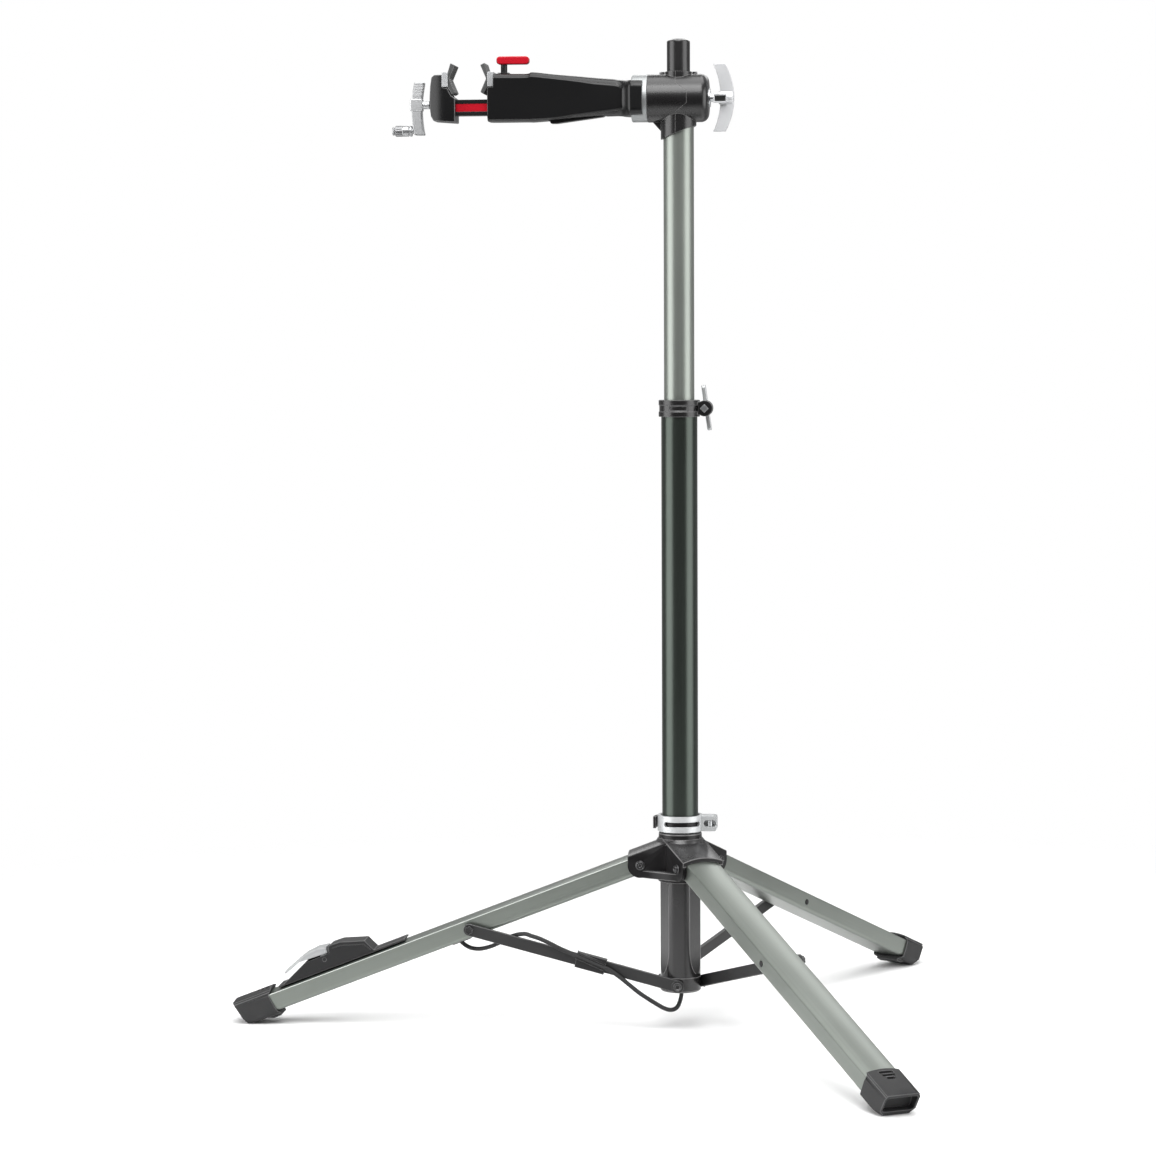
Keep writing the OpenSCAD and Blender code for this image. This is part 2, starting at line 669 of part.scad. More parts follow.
// End view of a foot: round lower corners, a narrower plate on top, a tongue below
module foot_front() intersection() {
    union() {
        translate([0, (foot_top_v - foot_plate + toe_v) / 2])
            rounded(2 * foot_half, foot_top_v - foot_plate - toe_v, 8);
        translate([-foot_half + foot_step, 0]) square([2 * (foot_half - foot_step), foot_top_v]);
        translate([-foot_half + 9, toe_v - 5]) square([2 * foot_half - 18, 10]);
    }
    translate([0, foot_top_v - crown_r]) circle(crown_r, $fn = 180);
}

// Room for the leg's end in its foot
module foot_bore() intersection() {
    translate([-leg_w / 2 - seat_gap, -leg_side / 2 - seat_gap]) square([leg_w + 2 * seat_gap, far]);
    translate([0, leg_top + 2 * seat_gap - crown_r]) circle(crown_r, $fn = 180);
}

module foot_1() foot(0);

module foot_2() foot(1);

module foot_3() foot(2);

// Flat bar with round ends and a riveted stud at the bracket
module strut(i) color(black) on_strut(i) {
    translate([0, strut_in + strut_t / 2, 0]) slab(strut_t) difference() {
        union() {
            translate([0, -strut_w / 2]) square([strut_l, strut_w]);
            circle(d = strut_w);
            translate([strut_l, 0]) circle(d = strut_w);
        }
        translate([strut_l, 0]) circle(d = bolt_d + 2 * running_gap);
    }
    bar_y(bolt_d * 1.5, strut_out - 1, strut_out + 3.5);
}

module strut_1() strut(0);

module strut_2() strut(1);

module strut_3() strut(2);

// Bolt on which a strut turns, through both sides of the leg, with its spacer
module strut_bolt(i) color(steel) on_leg(i) translate([strut_on_leg, 0, 0]) {
    bar_y(bolt_d, -leg_w / 2 - 0.6, strut_out + 1);
    bar_y(bolt_d * 1.2, strut_out + face_gap, strut_out + 3);
    bar_y(bolt_d * 2, leg_w / 2 + seat_gap, strut_in - seat_gap * 3);
}

module strut_bolt_1() strut_bolt(0);

module strut_bolt_2() strut_bolt(1);

module strut_bolt_3() strut_bolt(2);

// Foot pedal on the first leg

module pedal_side() polygon([
    [pedal_out - pedal_strip_l, pedal_base_v], [pedal_out, pedal_base_v], [pedal_out, pedal_floor],
    [pedal_out - 9, pedal_floor], [pedal_out - 47, pedal_floor + 17], [pedal_out - 85, pedal_floor + 18],
    [pedal_out - 88, pedal_roof - 0.5], [pedal_out - 91, pedal_roof], [pedal_out - 106, pedal_roof - 0.6],
    [pedal_out - 139, pedal_roof - 11], [pedal_out - 147, pedal_floor],
    [pedal_out - pedal_strip_l, pedal_floor]
]);

module pedal_housing() color(black) on_leg(0) difference() {
    slab(pedal_w) pedal_side();
    translate([pedal_out - 86, -pedal_in / 2, pedal_floor]) cube([far, pedal_in, far]);
    translate([pedal_out - 134, -pedal_in / 2, 0]) cube([42, pedal_in, pedal_floor + 14]);
    translate([pedal_pivot[0], 0, pedal_pivot[1]]) bar_y(pedal_pin_d + 2 * seat_gap, -far, far);
    run_x(pedal_out - far, pedal_out + 1) translate([0, leg_top + seat_gap - crown_r])
        circle(crown_r, $fn = 180);
}

module pedal_pin() color(steel) on_leg(0) translate([pedal_pivot[0], 0, pedal_pivot[1]])
    bar_y(pedal_pin_d, -pedal_w / 2 + 0.4, pedal_w / 2 - 0.4);

// Tread with side skirts, hinged at its upper end
module pedal_tread() color(silver) on_leg(0) difference() {
    slab(pedal_in - 2 * face_gap) difference() {
        union() {
            polygon([
                [pedal_out - 83, pedal_floor + 19], [pedal_out - 84, pedal_roof - 0.5],
                [pedal_out - 69, pedal_roof + 1.8], [pedal_out - 51, pedal_roof],
                [pedal_out - 14, pedal_floor + 14.5], [pedal_out - 16, pedal_floor + 12.5],
                [pedal_out - 50, pedal_floor + 20]
            ]);
            translate(pedal_pivot) circle(d = pedal_pin_d + 6);
            translate([pedal_pivot[0] - 5.5, pedal_pivot[1]]) square([11, 10]);
        }
        translate(pedal_pivot) circle(d = pedal_pin_d + 2 * running_gap);
    }
    for (n = [0:3]) translate([pedal_out - 46 + 8 * n, 0, pedal_roof - 2.2 - 3 * n]) rotate([0, 20.5, 0])
        cube([2.4, pedal_w, 1.6], center = true);
}

// Cable

module cable_grommet() color(black) on_leg(0)
    translate([strut_on_leg + 21, 0, -leg_side / 2]) difference() {
    union() {
        translate([0, 0, -2.6]) linear_extrude(height = 2.5) slot(30, 14);
        translate([0, 0, -0.3]) linear_extrude(height = leg_wall + 1)
            slot(24 - 2 * seat_gap, 9 - 2 * seat_gap);
    }
    translate([0, 0, -far / 2]) linear_extrude(height = far) slot(19, cable_d + 0.8);
}

module cable_clip() color(black) on_strut(0) translate([clip_at, strut_in + strut_t / 2, 0]) difference() {
    union() {
        cube([clip_l, strut_t + 5, strut_w + 5], center = true);
        translate([0.8, strut_t / 2 + 4, 3.1]) rotate([0, -8.6, 0])
            bar_x(cable_d + 5, -clip_l / 2, clip_l / 2);
    }
    cube([clip_l + 12, strut_t + 2 * seat_gap, strut_w + 2 * seat_gap], center = true);
    translate([0.8, strut_t / 2 + 6, 3.1]) rotate([0, -8.6, 0]) bar_x(cable_d + 0.8, -clip_l, clip_l);
    translate([0, strut_t / 2 + 6, 3.1]) rotate([0, -8.6, 0]) translate([-clip_l, 0, -(cable_d + 0.8) / 2])
        cube([2 * clip_l, far, cable_d + 0.8]);
}

module release_cable() color(black) on_mast() sweep(cable_route, cable_d / 2, cable_sides);

// Direction of a route at one of its points
function heading(p, i) = let (d = p[min(i + 1, len(p) - 1)] - p[max(i - 1, 0)]) d / norm(d);

// Side vector of a ring, carried from ring to ring so that the tube doesn't twist
function carried(p, i) = i == 0
    ? let (n = cross([0, 1, 0], heading(p, 0))) n / norm(n)
    : let (n = carried(p, i - 1), d = heading(p, i), m = n - (n * d) * d) m / norm(m);

// A round tube of r along the points of p
module sweep(p, r, sides) {
    rings = len(p);
    points = [
        for (i = [0:rings - 1]) let (d = heading(p, i), n = carried(p, i), b = cross(d, n))
            for (k = [0:sides - 1]) p[i] + r * (cos(360 * k / sides) * n + sin(360 * k / sides) * b)
    ];
    walls = [
        for (i = [0:rings - 2], k = [0:sides - 1]) let (a = i * sides + k, c = i * sides + (k + 1) % sides)
            each [[a, a + sides, c], [c, a + sides, c + sides]]
    ];
    start_cap = [for (k = [1:sides - 2]) [0, k, k + 1]];
    last = (rings - 1) * sides;
    end_cap = [for (k = [1:sides - 2]) [last, last + k + 1, last + k]];
    polyhedron(points, concat(walls, start_cap, end_cap));
}

// Upper mast and head

module upper_tube() color(pale_sage) on_mast() tube(upper_tube_d, upper_bore, upper_bottom, upper_top);

module slider_bush() color(black) on_mast() {
    tube(lower_bore - 2 * running_gap, upper_tube_d + 2 * seat_gap, upper_bottom, upper_bottom + bush_l);
    tube(lower_bore - 2 * running_gap, upper_bore - 4, upper_bottom - 4, upper_bottom - seat_gap);
}

module gas_cylinder() color(black) on_mast() difference() {
    union() {
        translate([0, 0, gas_bottom]) cylinder(d = gas_d, h = gas_l);
        translate([0, 0, gas_bottom + gas_l - 1]) cylinder(d = 12, h = upper_top - gas_bottom - gas_l - 20);
        translate([0, 0, upper_top - 40]) cylinder(d = upper_bore - 2 * seat_gap, h = 20);
    }
    translate([0, 0, gas_bottom + 12]) cylinder(d = gas_bore, h = gas_l - 24);
    translate([0, 0, gas_bottom - 1]) cylinder(d = gas_rod_d + 2 * running_gap, h = 20);
}

// Head casting before it is split
module head_casting() difference() {
    union() {
        rotate([0, 90, 0]) rotate_extrude() barrel_outline();
        translate([0, 0, -70]) cylinder(d = socket_d, h = 70);
        translate([0, 0, 20]) cylinder(d = post_d + 5, h = barrel_d / 2 - 17);
        slab(9) polygon([
            [-barrel_left + 3, -barrel_d / 2 + 8], [-barrel_left + 1, -27], [-socket_d / 2 + 2, -47],
            [0, -40], [0, -10]
        ]);
        for (s = [-1, 1]) translate([s * head_bolt_x, 0, barrel_d / 2 - 2]) cylinder(d = 9, h = 2.5);
    }
    bar_x(bush_d + 2 * seat_gap, -far, far);
    translate([0, 0, upper_top - clamp_height - far])
        cylinder(d = upper_tube_d + 2 * seat_gap, h = far + seat_gap);
    translate([0, 0, post_seat - clamp_height - seat_gap]) cylinder(d = post_d - 1 + 2 * seat_gap, h = far);
    rotate([0, -21, 0]) translate([-far, -far, -44 - far]) cube([far * 2, far * 2, far]);
    for (s = [-1, 1]) translate([s * head_bolt_x, 0, barrel_d / 2 - 6])
        cylinder(d = 4 + 2 * seat_gap, h = far);
}

// Half profile of the barrel, turned about the clamp axis
module barrel_outline() intersection() {
    translate([0, -barrel_left]) union() {
        square([barrel_d / 2, barrel_left + barrel_right - 11]);
        square([barrel_d / 2 - 11, barrel_left + barrel_right]);
        translate([barrel_d / 2 - 11, barrel_left + barrel_right - 11]) circle(11);
    }
    translate([0, -barrel_left]) square([far, far]);
}

// Side of the stepped seam that holds the clamp-side shell
module seam(gap) slab(far) polygon([
    [-far, far], [seam_x - gap, far], [seam_x - gap, 20], [13 - gap, 8], [13 - gap, -8],
    [seam_x - gap, -20], [seam_x - gap, -far], [-far, -far]
]);

module head_left_shell() color(black) on_arm() intersection() {
    head_casting();
    seam(seat_gap / 2);
}

module head_right_shell() color(black) on_arm() difference() {
    head_casting();
    seam(-seat_gap / 2);
}

module head_bolts() color(steel) on_arm() for (s = [-1, 1]) translate([s * head_bolt_x, 0, barrel_d / 2]) {
    translate([0, 0, -6]) cylinder(d = 4, h = 7);
    translate([0, 0, 0.5 + seat_gap]) cylinder(d = 7, h = 2.2);
}

module accessory_post() color(black) on_mast() {
    translate([0, 0, post_seat]) cylinder(d = post_d - 1, h = post_foot - post_seat + 1);
    translate([0, 0, post_foot]) cylinder(d = post_d, h = barrel_top + post_h - post_foot - 4);
    translate([0, 0, barrel_top + post_h - 4]) cylinder(d1 = post_d, d2 = post_d - 2, h = 2);
    translate([0, 0, barrel_top + post_h - 2]) cylinder(d1 = post_d - 4, d2 = post_d - 12, h = 2);
}

module barrel_bush() color(grey) on_arm() difference() {
    bar_x(bush_d, -barrel_left + 0.3, barrel_right);
    bar_x(shaft_d + 2 * running_gap, -far, far);
}

// Cast wing that tightens the clamp's rotation, with a cross lug on its hub
module wing_handle() color(silver) on_arm() difference() {
    union() {
        bar_x(18, wing_x + 10, wing_x + 29);
        slab(wing_t) wing_outline();
        translate([wing_x + 3, -wing_t / 2 - 8, -7]) cube([18, 10, 11]);
    }
    bar_x(stud_d + 2 * running_gap, -far, wing_x + 24);
}

// Boomerang with its back to the right
module wing_outline() {
    back_r = wing_l * 1.02;
    inner_r = wing_l * 1.18;
    intersection() {
        difference() {
            translate([wing_x + 31 - back_r, 0]) circle(back_r, $fn = 180);
            translate([wing_x + 12.5 - inner_r, 0]) circle(inner_r, $fn = 180);
        }
        translate([wing_x, -wing_l / 2]) square([60, wing_l]);
    }
}

// Clamp arm: sections of the shell as [x, mid height, half width, half height, corner radius]
arm_sections = [
    [-arm_reach, arm_mid, arm_w / 2 - 1, arm_h / 2 - 1, 8],
    [-arm_reach + 1.5, arm_mid, arm_w / 2, arm_h / 2, 9],
    [-arm_reach + 50, arm_mid - 0.4, arm_w / 2, arm_h / 2 - 0.4, 9],
    [-arm_reach + 60, arm_mid + 0.6, arm_w / 2, arm_h / 2 + 0.8, 10],
    [-arm_reach + 90, arm_mid, arm_w / 2 - 0.5, arm_h / 2 - 1.8, 12],
    [-arm_reach + 120, arm_mid, arm_w / 2 - 1.5, arm_h / 2 - 4.3, 15],
    [-arm_reach + 150, arm_mid - 0.5, arm_w / 2 - 3, arm_h / 2 - 6.5, 17],
    [ring_in - 26, arm_mid - 1, arm_w / 2 - 4, arm_h / 2 - 7.4, 18],
    [ring_in - 17, clamp_height + 1, neck_d / 2 - 3.5, neck_d / 2 - 0.3, neck_d / 2 - 5],
    [ring_in - 8, clamp_height + 0.4, neck_d / 2 - 3, neck_d / 2 - 0.4, neck_d / 2 - 6],
    [ring_in - 4, clamp_height, neck_d / 2 - 1.5, neck_d / 2 - 0.4, neck_d / 2 - 8],
    [ring_in - 2.2, clamp_height, neck_d / 2 + 2, neck_d / 2 - 0.5, neck_d / 2 - 10],
    [ring_in - 1, clamp_height, neck_d / 2 + 6, neck_d / 2 - 0.6, neck_d / 2 - 12],
    [ring_in - 0.2, clamp_height, cheek_half - 0.6, neck_d / 2 - 0.8, neck_d / 2 - 14],
    [ring_in + 2, clamp_height, cheek_half, neck_d / 2 - 1, neck_d / 2 - 15],
    [ring_in + ring_l / 2, clamp_height, cheek_half + 0.3, neck_d / 2 - 1.5, neck_d / 2 - 16]
];

// The panels that stand out from both sides of the arm, with a blunt nose at the neck
panel_sections = [
    [-arm_reach + 1, arm_mid - 1.7, arm_w / 2 + panel_t - 0.6, arm_h / 2 - 3.6, 2],
    [-arm_reach + 2, arm_mid - 1.7, arm_w / 2 + panel_t, arm_h / 2 - 3.3, 2],
    [-arm_reach + 50, arm_mid - 1.9, arm_w / 2 + panel_t, arm_h / 2 - 3.5, 2],
    [-arm_reach + 60, arm_mid - 1.1, arm_w / 2 + panel_t, arm_h / 2 - 2.9, 2],
    [-arm_reach + 92, arm_mid - 2, arm_w / 2 - 0.6 + panel_t, arm_h / 2 - 5.2, 2.5],
    [-arm_reach + 120, arm_mid - 1.6, arm_w / 2 - 1.5 + panel_t, arm_h / 2 - 8.6, 3],
    [-arm_reach + 150, arm_mid - 2, arm_w / 2 - 3 + panel_t, arm_h / 2 - 12, 4],
    [ring_in - 26, clamp_height + 1, arm_w / 2 - 4 + panel_t, arm_h / 2 - 15, 5],
    [ring_in - 14, clamp_height + 0.8, neck_d / 2 - 2.4 + panel_t, arm_h / 2 - 17.4, 5],
    [ring_in - 8, clamp_height + 0.5, neck_d / 2 - 2.2 + panel_t, arm_h / 2 - 20, 5],
    [ring_in - 5, clamp_height + 0.3, neck_d / 2 - 2.6 + panel_t, arm_h / 2 - 22.5, 4],
    [ring_in - 3.6, clamp_height, neck_d / 2 - 4 + panel_t, arm_h / 2 - 25, 3]
];

// Points of one rounded section, in order round the X axis
function section(s, steps) = [
    for (q = [0:3], k = [0:steps]) let (
        a = 90 * q + 90 * k / steps,
        sy = q == 0 || q == 3 ? 1 : -1,
        sz = q < 2 ? 1 : -1
    ) [s[0], sy * (s[2] - s[4]) + s[4] * cos(a), s[1] + sz * (s[3] - s[4]) + s[4] * sin(a)]
];

// A closed skin through sections that have the same number of points
module loft(sections, steps) {
    n = 4 * (steps + 1);
    rows = len(sections);
    points = [for (s = sections) each section(s, steps)];
    walls = [
        for (i = [0:rows - 2], k = [0:n - 1]) let (a = i * n + k, c = i * n + (k + 1) % n)
            each [[a, a + n, c], [c, a + n, c + n]]
    ];
    first = [for (k = [1:n - 2]) [0, k, k + 1]];
    last = [for (k = [1:n - 2]) [(rows - 1) * n, (rows - 1) * n + k + 1, (rows - 1) * n + k]];
    polyhedron(points, concat(walls, first, last));
}

// One moulded half of the arm, hollow round the rail and the lock, with a cheek beside the friction ring
module arm_shell(side) color(black) on_mast() difference() {
    union() {
        loft(arm_sections, 8);
        loft(panel_sections, 3);
    }
    translate([-far, side > 0 ? -far + seat_gap / 2 : -seat_gap / 2, 0]) cube([far * 2, far, far * 5]);
    translate([rail_start - 60, -rail_w / 2 - face_gap, rail_z - rail_h / 2 - face_gap])
        cube([rail_room - rail_start + 60, rail_w + 2 * face_gap, rail_h + 2 * face_gap]);
    translate([plate_x - 6, -rail_w / 2 - 7, rail_z - rail_h / 2 - 5]) cube([18, rail_w + 14, rail_h + 21]);
    translate([release_x, 0, rail_z]) cylinder(d = stem_d + 2 * face_gap, h = far);
    translate([0, 0, clamp_height]) bar_x(shaft_d + 2 * seat_gap, shaft_start - seat_gap, far);
    translate([0, 0, clamp_height]) bar_x(barrel_d - 1 + 2 * seat_gap, ring_in - seat_gap, far);
    slab(far) notch_outline();
    translate([release_x - 8 - seat_gap, -9 - seat_gap, arm_top - 1.5])
        cube([16 + 2 * seat_gap, 18 + 2 * seat_gap, far]);
    slab(18) polygon([
        [-arm_reach + 80, arm_bottom + 4.1], [-arm_reach + 80, arm_bottom - 10],
        [-arm_reach + 160, arm_bottom - 10], [-arm_reach + 160, arm_bottom + 8.2]
    ]);
}

// Corner of the arm that the fixed bracket stands in
module notch_outline() polygon([
    [-arm_reach - 5, pad_mid - 12.2], [notch_x, pad_mid - 12.2], [notch_x, pad_mid + 5],
    [notch_x + 5, arm_top + 3], [-arm_reach - 5, arm_top + 3]
]);

module arm_front_shell() arm_shell(-1);

module arm_rear_shell() arm_shell(1);

// Strip under the arm that closes the rail's channel
module arm_cover() color(black) on_mast() slab(18 - 2 * seat_gap) polygon([
    [-arm_reach + 80 + seat_gap, arm_bottom + 4 - seat_gap], [-arm_reach + 84, arm_bottom - 3],
    [-arm_reach + 92, arm_bottom - 3], [-arm_reach + 156, arm_bottom + 5.5],
    [-arm_reach + 160 - seat_gap, arm_bottom + 8]
]);

module arm_shaft() color(steel) on_arm() {
    bar_x(shaft_d, shaft_start, wing_x - 1.5);
    bar_x(stud_d, wing_x - 2, wing_x + 19);
}

module friction_ring() color(silver) on_arm() difference() {
    union() {
        bar_x(barrel_d - 1, ring_in + 1, ring_out);
        translate([ring_in, 0, 0]) rotate([0, 90, 0]) cylinder(d1 = barrel_d - 3, d2 = barrel_d - 1, h = 1);
    }
    bar_x(shaft_d + 2 * seat_gap, -far, far);
}

// Channel that holds a pad, its open side to the left
module pad_bracket() slab(jaw_w - 6) polygon([
    [0, 10], [bracket_t, 10], [bracket_t, -10], [0, -10], [0, -7.5], [bracket_t - web_t, -7.5],
    [bracket_t - web_t, 7.5], [0, 7.5]
]);

module fixed_bracket() color(silver) on_mast() translate([notch_x - bracket_t - seat_gap, 0, pad_mid - 1])
    pad_bracket();

// V-shaped rubber pad with its V to the right, tips at x = 0 and the middle at z = 0
module vee_pad() slab(jaw_w) polygon([
    [0, pad_h / 2 - 3], [-pad_v, 0], [0, -pad_h / 2 + 3], [-pad_t * 0.7, -pad_h / 2],
    [-pad_shoulder, -11.5], [-pad_shoulder, -8.4], [-pad_back, -8.4], [-pad_back, 6.4],
    [-pad_shoulder, 6.4], [-pad_shoulder, 9.5], [-pad_t * 0.9, pad_h / 2]
]);

module fixed_pad() color(grey) on_mast() translate([fixed_tip, 0, pad_mid]) mirror([1, 0, 0]) vee_pad();

// Quick release

module release_base() color(black) on_mast()
    translate([release_x, 0, arm_top - 1.5 + seat_gap]) difference() {
    translate([-8, -9, 0]) cube([16, 18, 3]);
    translate([0, 0, -1]) cylinder(d = stem_d + 2 * running_gap, h = far);
}

module release_stem() color(black) on_mast() translate([release_x, 0, rail_z + rail_h / 2 + 12])
    cylinder(d = stem_d, h = release_z - rail_z - rail_h / 2 - 12);

module release_bar() color(red) on_mast()
    translate([release_x - 10 + release_l / 2, 0, release_z + seat_gap + 5.5])
    slab(13) rounded(release_l, 11, 4.5);

// Steel plate that grips the rail when it tilts
module lock_plate() color(steel) on_mast() translate([plate_x, 0, rail_z]) difference() {
    translate([-plate_t / 2, -rail_w / 2 - 6, -rail_h / 2 - 4]) cube([plate_t, rail_w + 12, rail_h + 17]);
    cube([far, rail_w + 2 * face_gap, rail_h + 4 * face_gap], center = true);
}

// Rail, jaw and crank

module rail() color(black) on_mast() translate([0, 0, rail_z]) difference() {
    run_x(rail_start, rail_start + rail_l) difference() {
        square([rail_w, rail_h], center = true);
        for (s = [-1, 1]) translate([s * rail_w / 2, 0]) square([6, rail_h / 2], center = true);
    }
    translate([0, 0, screw_z - rail_z]) {
        bar_x(screw_d + 2 * running_gap, rail_start - 1, rail_start + 20);
        bar_x(screw_d + 2 * face_gap, rail_start + 19, rail_start + 120);
    }
}

module rail_stripes() color(red) on_mast() translate([0, 0, rail_z]) for (s = [-1, 1])
    run_x(rail_start + 1, rail_start + rail_l) translate([s * (rail_w / 2 - 1.9), 0])
        square([2, rail_h / 2 - 2 * seat_gap], center = true);

module moving_jaw() color(black) on_mast() difference() {
    intersection() {
        slab(jaw_w) polygon([
            [jaw_right, arm_bottom - 1], [jaw_right, screw_z + 8], [jaw_right - 5.5, screw_z + 12],
            [jaw_right - 10.5, pad_mid - 13], [jaw_seat, pad_mid - 11.2], [jaw_seat, arm_top - 1],
            [jaw_left + 8, arm_top - 1], [jaw_left + 4, arm_top - 4], [jaw_left - 1, arm_mid],
            [jaw_left + 2, arm_bottom + 8], [jaw_left + 6, arm_bottom + 1]
        ]);
        translate([jaw_left + 140, 0, arm_mid - 3]) bar_y(280, -far, far);
        translate([jaw_left + 70, 0, 0]) cylinder(r = 70, h = far * 5, $fn = 180);
    }
    translate([jaw_left + 10, -rail_w / 2 - face_gap, rail_z - rail_h / 2 - face_gap])
        cube([far, rail_w + 2 * face_gap, rail_h + 2 * face_gap]);
    translate([0, 0, screw_z]) bar_x(screw_d + 2 * running_gap, -far, jaw_right);
}

module jaw_bracket() color(silver) on_mast() translate([jaw_seat + seat_gap, 0, pad_mid - 1])
    translate([bracket_t, 0, 0]) mirror([1, 0, 0]) pad_bracket();

module jaw_pad() color(grey) on_mast() translate([moving_tip, 0, pad_mid]) vee_pad();

module crank() color(silver) on_mast() translate([0, 0, screw_z]) {
    bar_x(screw_d, jaw_left - 14, rail_start + 60);
    bar_x(11, jaw_left - 14, jaw_left - face_gap);
    slab(17) crank_bow();
    translate([0, 0, -crank_r]) bar_x(screw_d, crank_x - 12 - grip_l, crank_x);
    translate([0, 0, -crank_r]) bar_x(12, crank_x - 14 - grip_l, crank_x - 11 - grip_l);
}

// Bowed crank arm seen from the side
module crank_bow() intersection() {
    difference() {
        translate([crank_x - 12 + 190, -6]) circle(190, $fn = 180);
        translate([crank_x + 1.5 + 170, -6]) circle(170, $fn = 180);
    }
    translate([crank_x - 20, -crank_r - 6]) square([40, crank_r + 6 + 31]);
}

module crank_grip() color(silver) on_mast() translate([0, 0, screw_z - crank_r]) difference() {
    union() {
        bar_x(grip_d, crank_x - 10 - grip_l, crank_x - 10 - grip_l * 0.4);
        bar_x(grip_d - 3, crank_x - 11 - grip_l * 0.4, crank_x - 10 - grip_l * 0.32);
        bar_x(grip_d, crank_x - 10 - grip_l * 0.33, crank_x - 12.5);
    }
    bar_x(screw_d + 2 * running_gap, -far * 2, far);
}

lower_tube();
mast_foot();
strut_bracket();
tube_bush();
height_collar();
collar_bolt();
gas_rod();
valve_block();
valve_lever();
collar_wing_nut();
leg_hub();
hub_collar();
hub_bolts();
collar_barrel();
hub_lever();
leg_1();
leg_2();
leg_3();
foot_1();
foot_2();
foot_3();
strut_1();
strut_2();
strut_3();
strut_bolt_1();
strut_bolt_2();
strut_bolt_3();
pedal_housing();
pedal_pin();
pedal_tread();
cable_grommet();
cable_clip();
release_cable();
upper_tube();
slider_bush();
gas_cylinder();
head_left_shell();
head_right_shell();
head_bolts();
accessory_post();
barrel_bush();
wing_handle();
arm_front_shell();
arm_rear_shell();
arm_cover();
arm_shaft();
friction_ring();
fixed_bracket();
fixed_pad();
release_base();
release_bar();
release_stem();
lock_plate();
rail();
rail_stripes();
moving_jaw();
jaw_bracket();
jaw_pad();
crank();
crank_grip();
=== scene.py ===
import json
import math
import bmesh
import bpy
from mathutils import Matrix, Vector


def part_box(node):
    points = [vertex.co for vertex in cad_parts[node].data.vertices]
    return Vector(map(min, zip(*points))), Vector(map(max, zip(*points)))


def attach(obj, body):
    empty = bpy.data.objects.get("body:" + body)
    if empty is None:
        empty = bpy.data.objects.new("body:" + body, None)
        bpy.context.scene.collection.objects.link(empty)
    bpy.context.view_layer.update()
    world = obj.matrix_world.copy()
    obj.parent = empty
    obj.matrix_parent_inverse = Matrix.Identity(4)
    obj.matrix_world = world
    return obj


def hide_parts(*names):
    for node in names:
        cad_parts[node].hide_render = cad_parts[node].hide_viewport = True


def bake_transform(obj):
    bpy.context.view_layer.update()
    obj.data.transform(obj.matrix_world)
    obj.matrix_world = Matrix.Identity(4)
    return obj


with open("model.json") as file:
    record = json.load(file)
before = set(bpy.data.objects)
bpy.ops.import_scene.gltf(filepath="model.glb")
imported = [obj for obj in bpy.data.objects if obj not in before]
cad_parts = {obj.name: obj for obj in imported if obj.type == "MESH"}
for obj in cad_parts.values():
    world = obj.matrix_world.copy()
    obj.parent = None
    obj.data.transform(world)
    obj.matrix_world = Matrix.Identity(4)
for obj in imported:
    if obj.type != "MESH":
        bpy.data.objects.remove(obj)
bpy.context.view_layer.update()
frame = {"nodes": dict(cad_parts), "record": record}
scene = bpy.context.scene
nodeBody = {node: body for body, nodes in frame["record"]["behaviour"]["bodies"].items() for node in nodes}
nodeSlot = {part["node"]: part["material_slot"] for part in frame["record"]["subparts"]}
tubeLow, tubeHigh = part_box("lower_tube")
mastX = (tubeLow[0] + tubeHigh[0]) / 2
mm = 0.001


# camera and light

shot = {"place": (0.3497, -4.9374, 0.9862), "right": (0.9951, 0.0987, -0.0044), "down": (0.0027, -0.0717, -0.9974),
        "ahead": (-0.0988, 0.9925, -0.0716), "focal": 3577.7, "frame": 1156, "sensor": 36, "far": 60}

def placeCamera():
    lens = bpy.data.cameras.new("photoCamera")
    lens.sensor_width = shot["sensor"]
    lens.lens = shot["focal"] / shot["frame"] * shot["sensor"]
    lens.clip_end = shot["far"]
    camera = bpy.data.objects.new("photoCamera", lens)
    scene.collection.objects.link(camera)
    turn = Matrix((shot["right"], [-v for v in shot["down"]], [-v for v in shot["ahead"]])).transposed()
    camera.matrix_world = Matrix.Translation(Vector(shot["place"]) + Vector((mastX, 0, 0))) @ turn.to_4x4()
    scene.camera = camera


# white to the camera, a dim room in reflections; a lamp is x, y, z, width, height and power

studio = {"fill": 0.07, "room": 0.3, "backdrop": 0.3, "behind": (0.1, 0.7), "above": (-0.2, 0.6), "aim": 0.8}
lamps = {"leftBox": (-2.6, -1.3, 1.1, 2.7, 3.2, 112), "rightBox": (2.6, -1.0, 1.1, 2.4, 3.2, 88),
         "topBox": (0.2, -0.2, 3.8, 3.0, 2.4, 90), "frontBox": (0.1, -3.0, 4.1, 3.2, 2.6, 190),
         "backBox": (0.0, 3.2, 2.9, 4.0, 1.4, 50)}

def rising(tree, way, axis, span):
    part = Paint.join(tree, "ShaderNodeSeparateXYZ", {}, axis, {"Vector": way})
    return Paint.join(tree, "ShaderNodeMapRange", {"interpolation_type": "SMOOTHSTEP"}, "Result",
                      {"Value": part, "From Min": span[0], "From Max": span[1]})


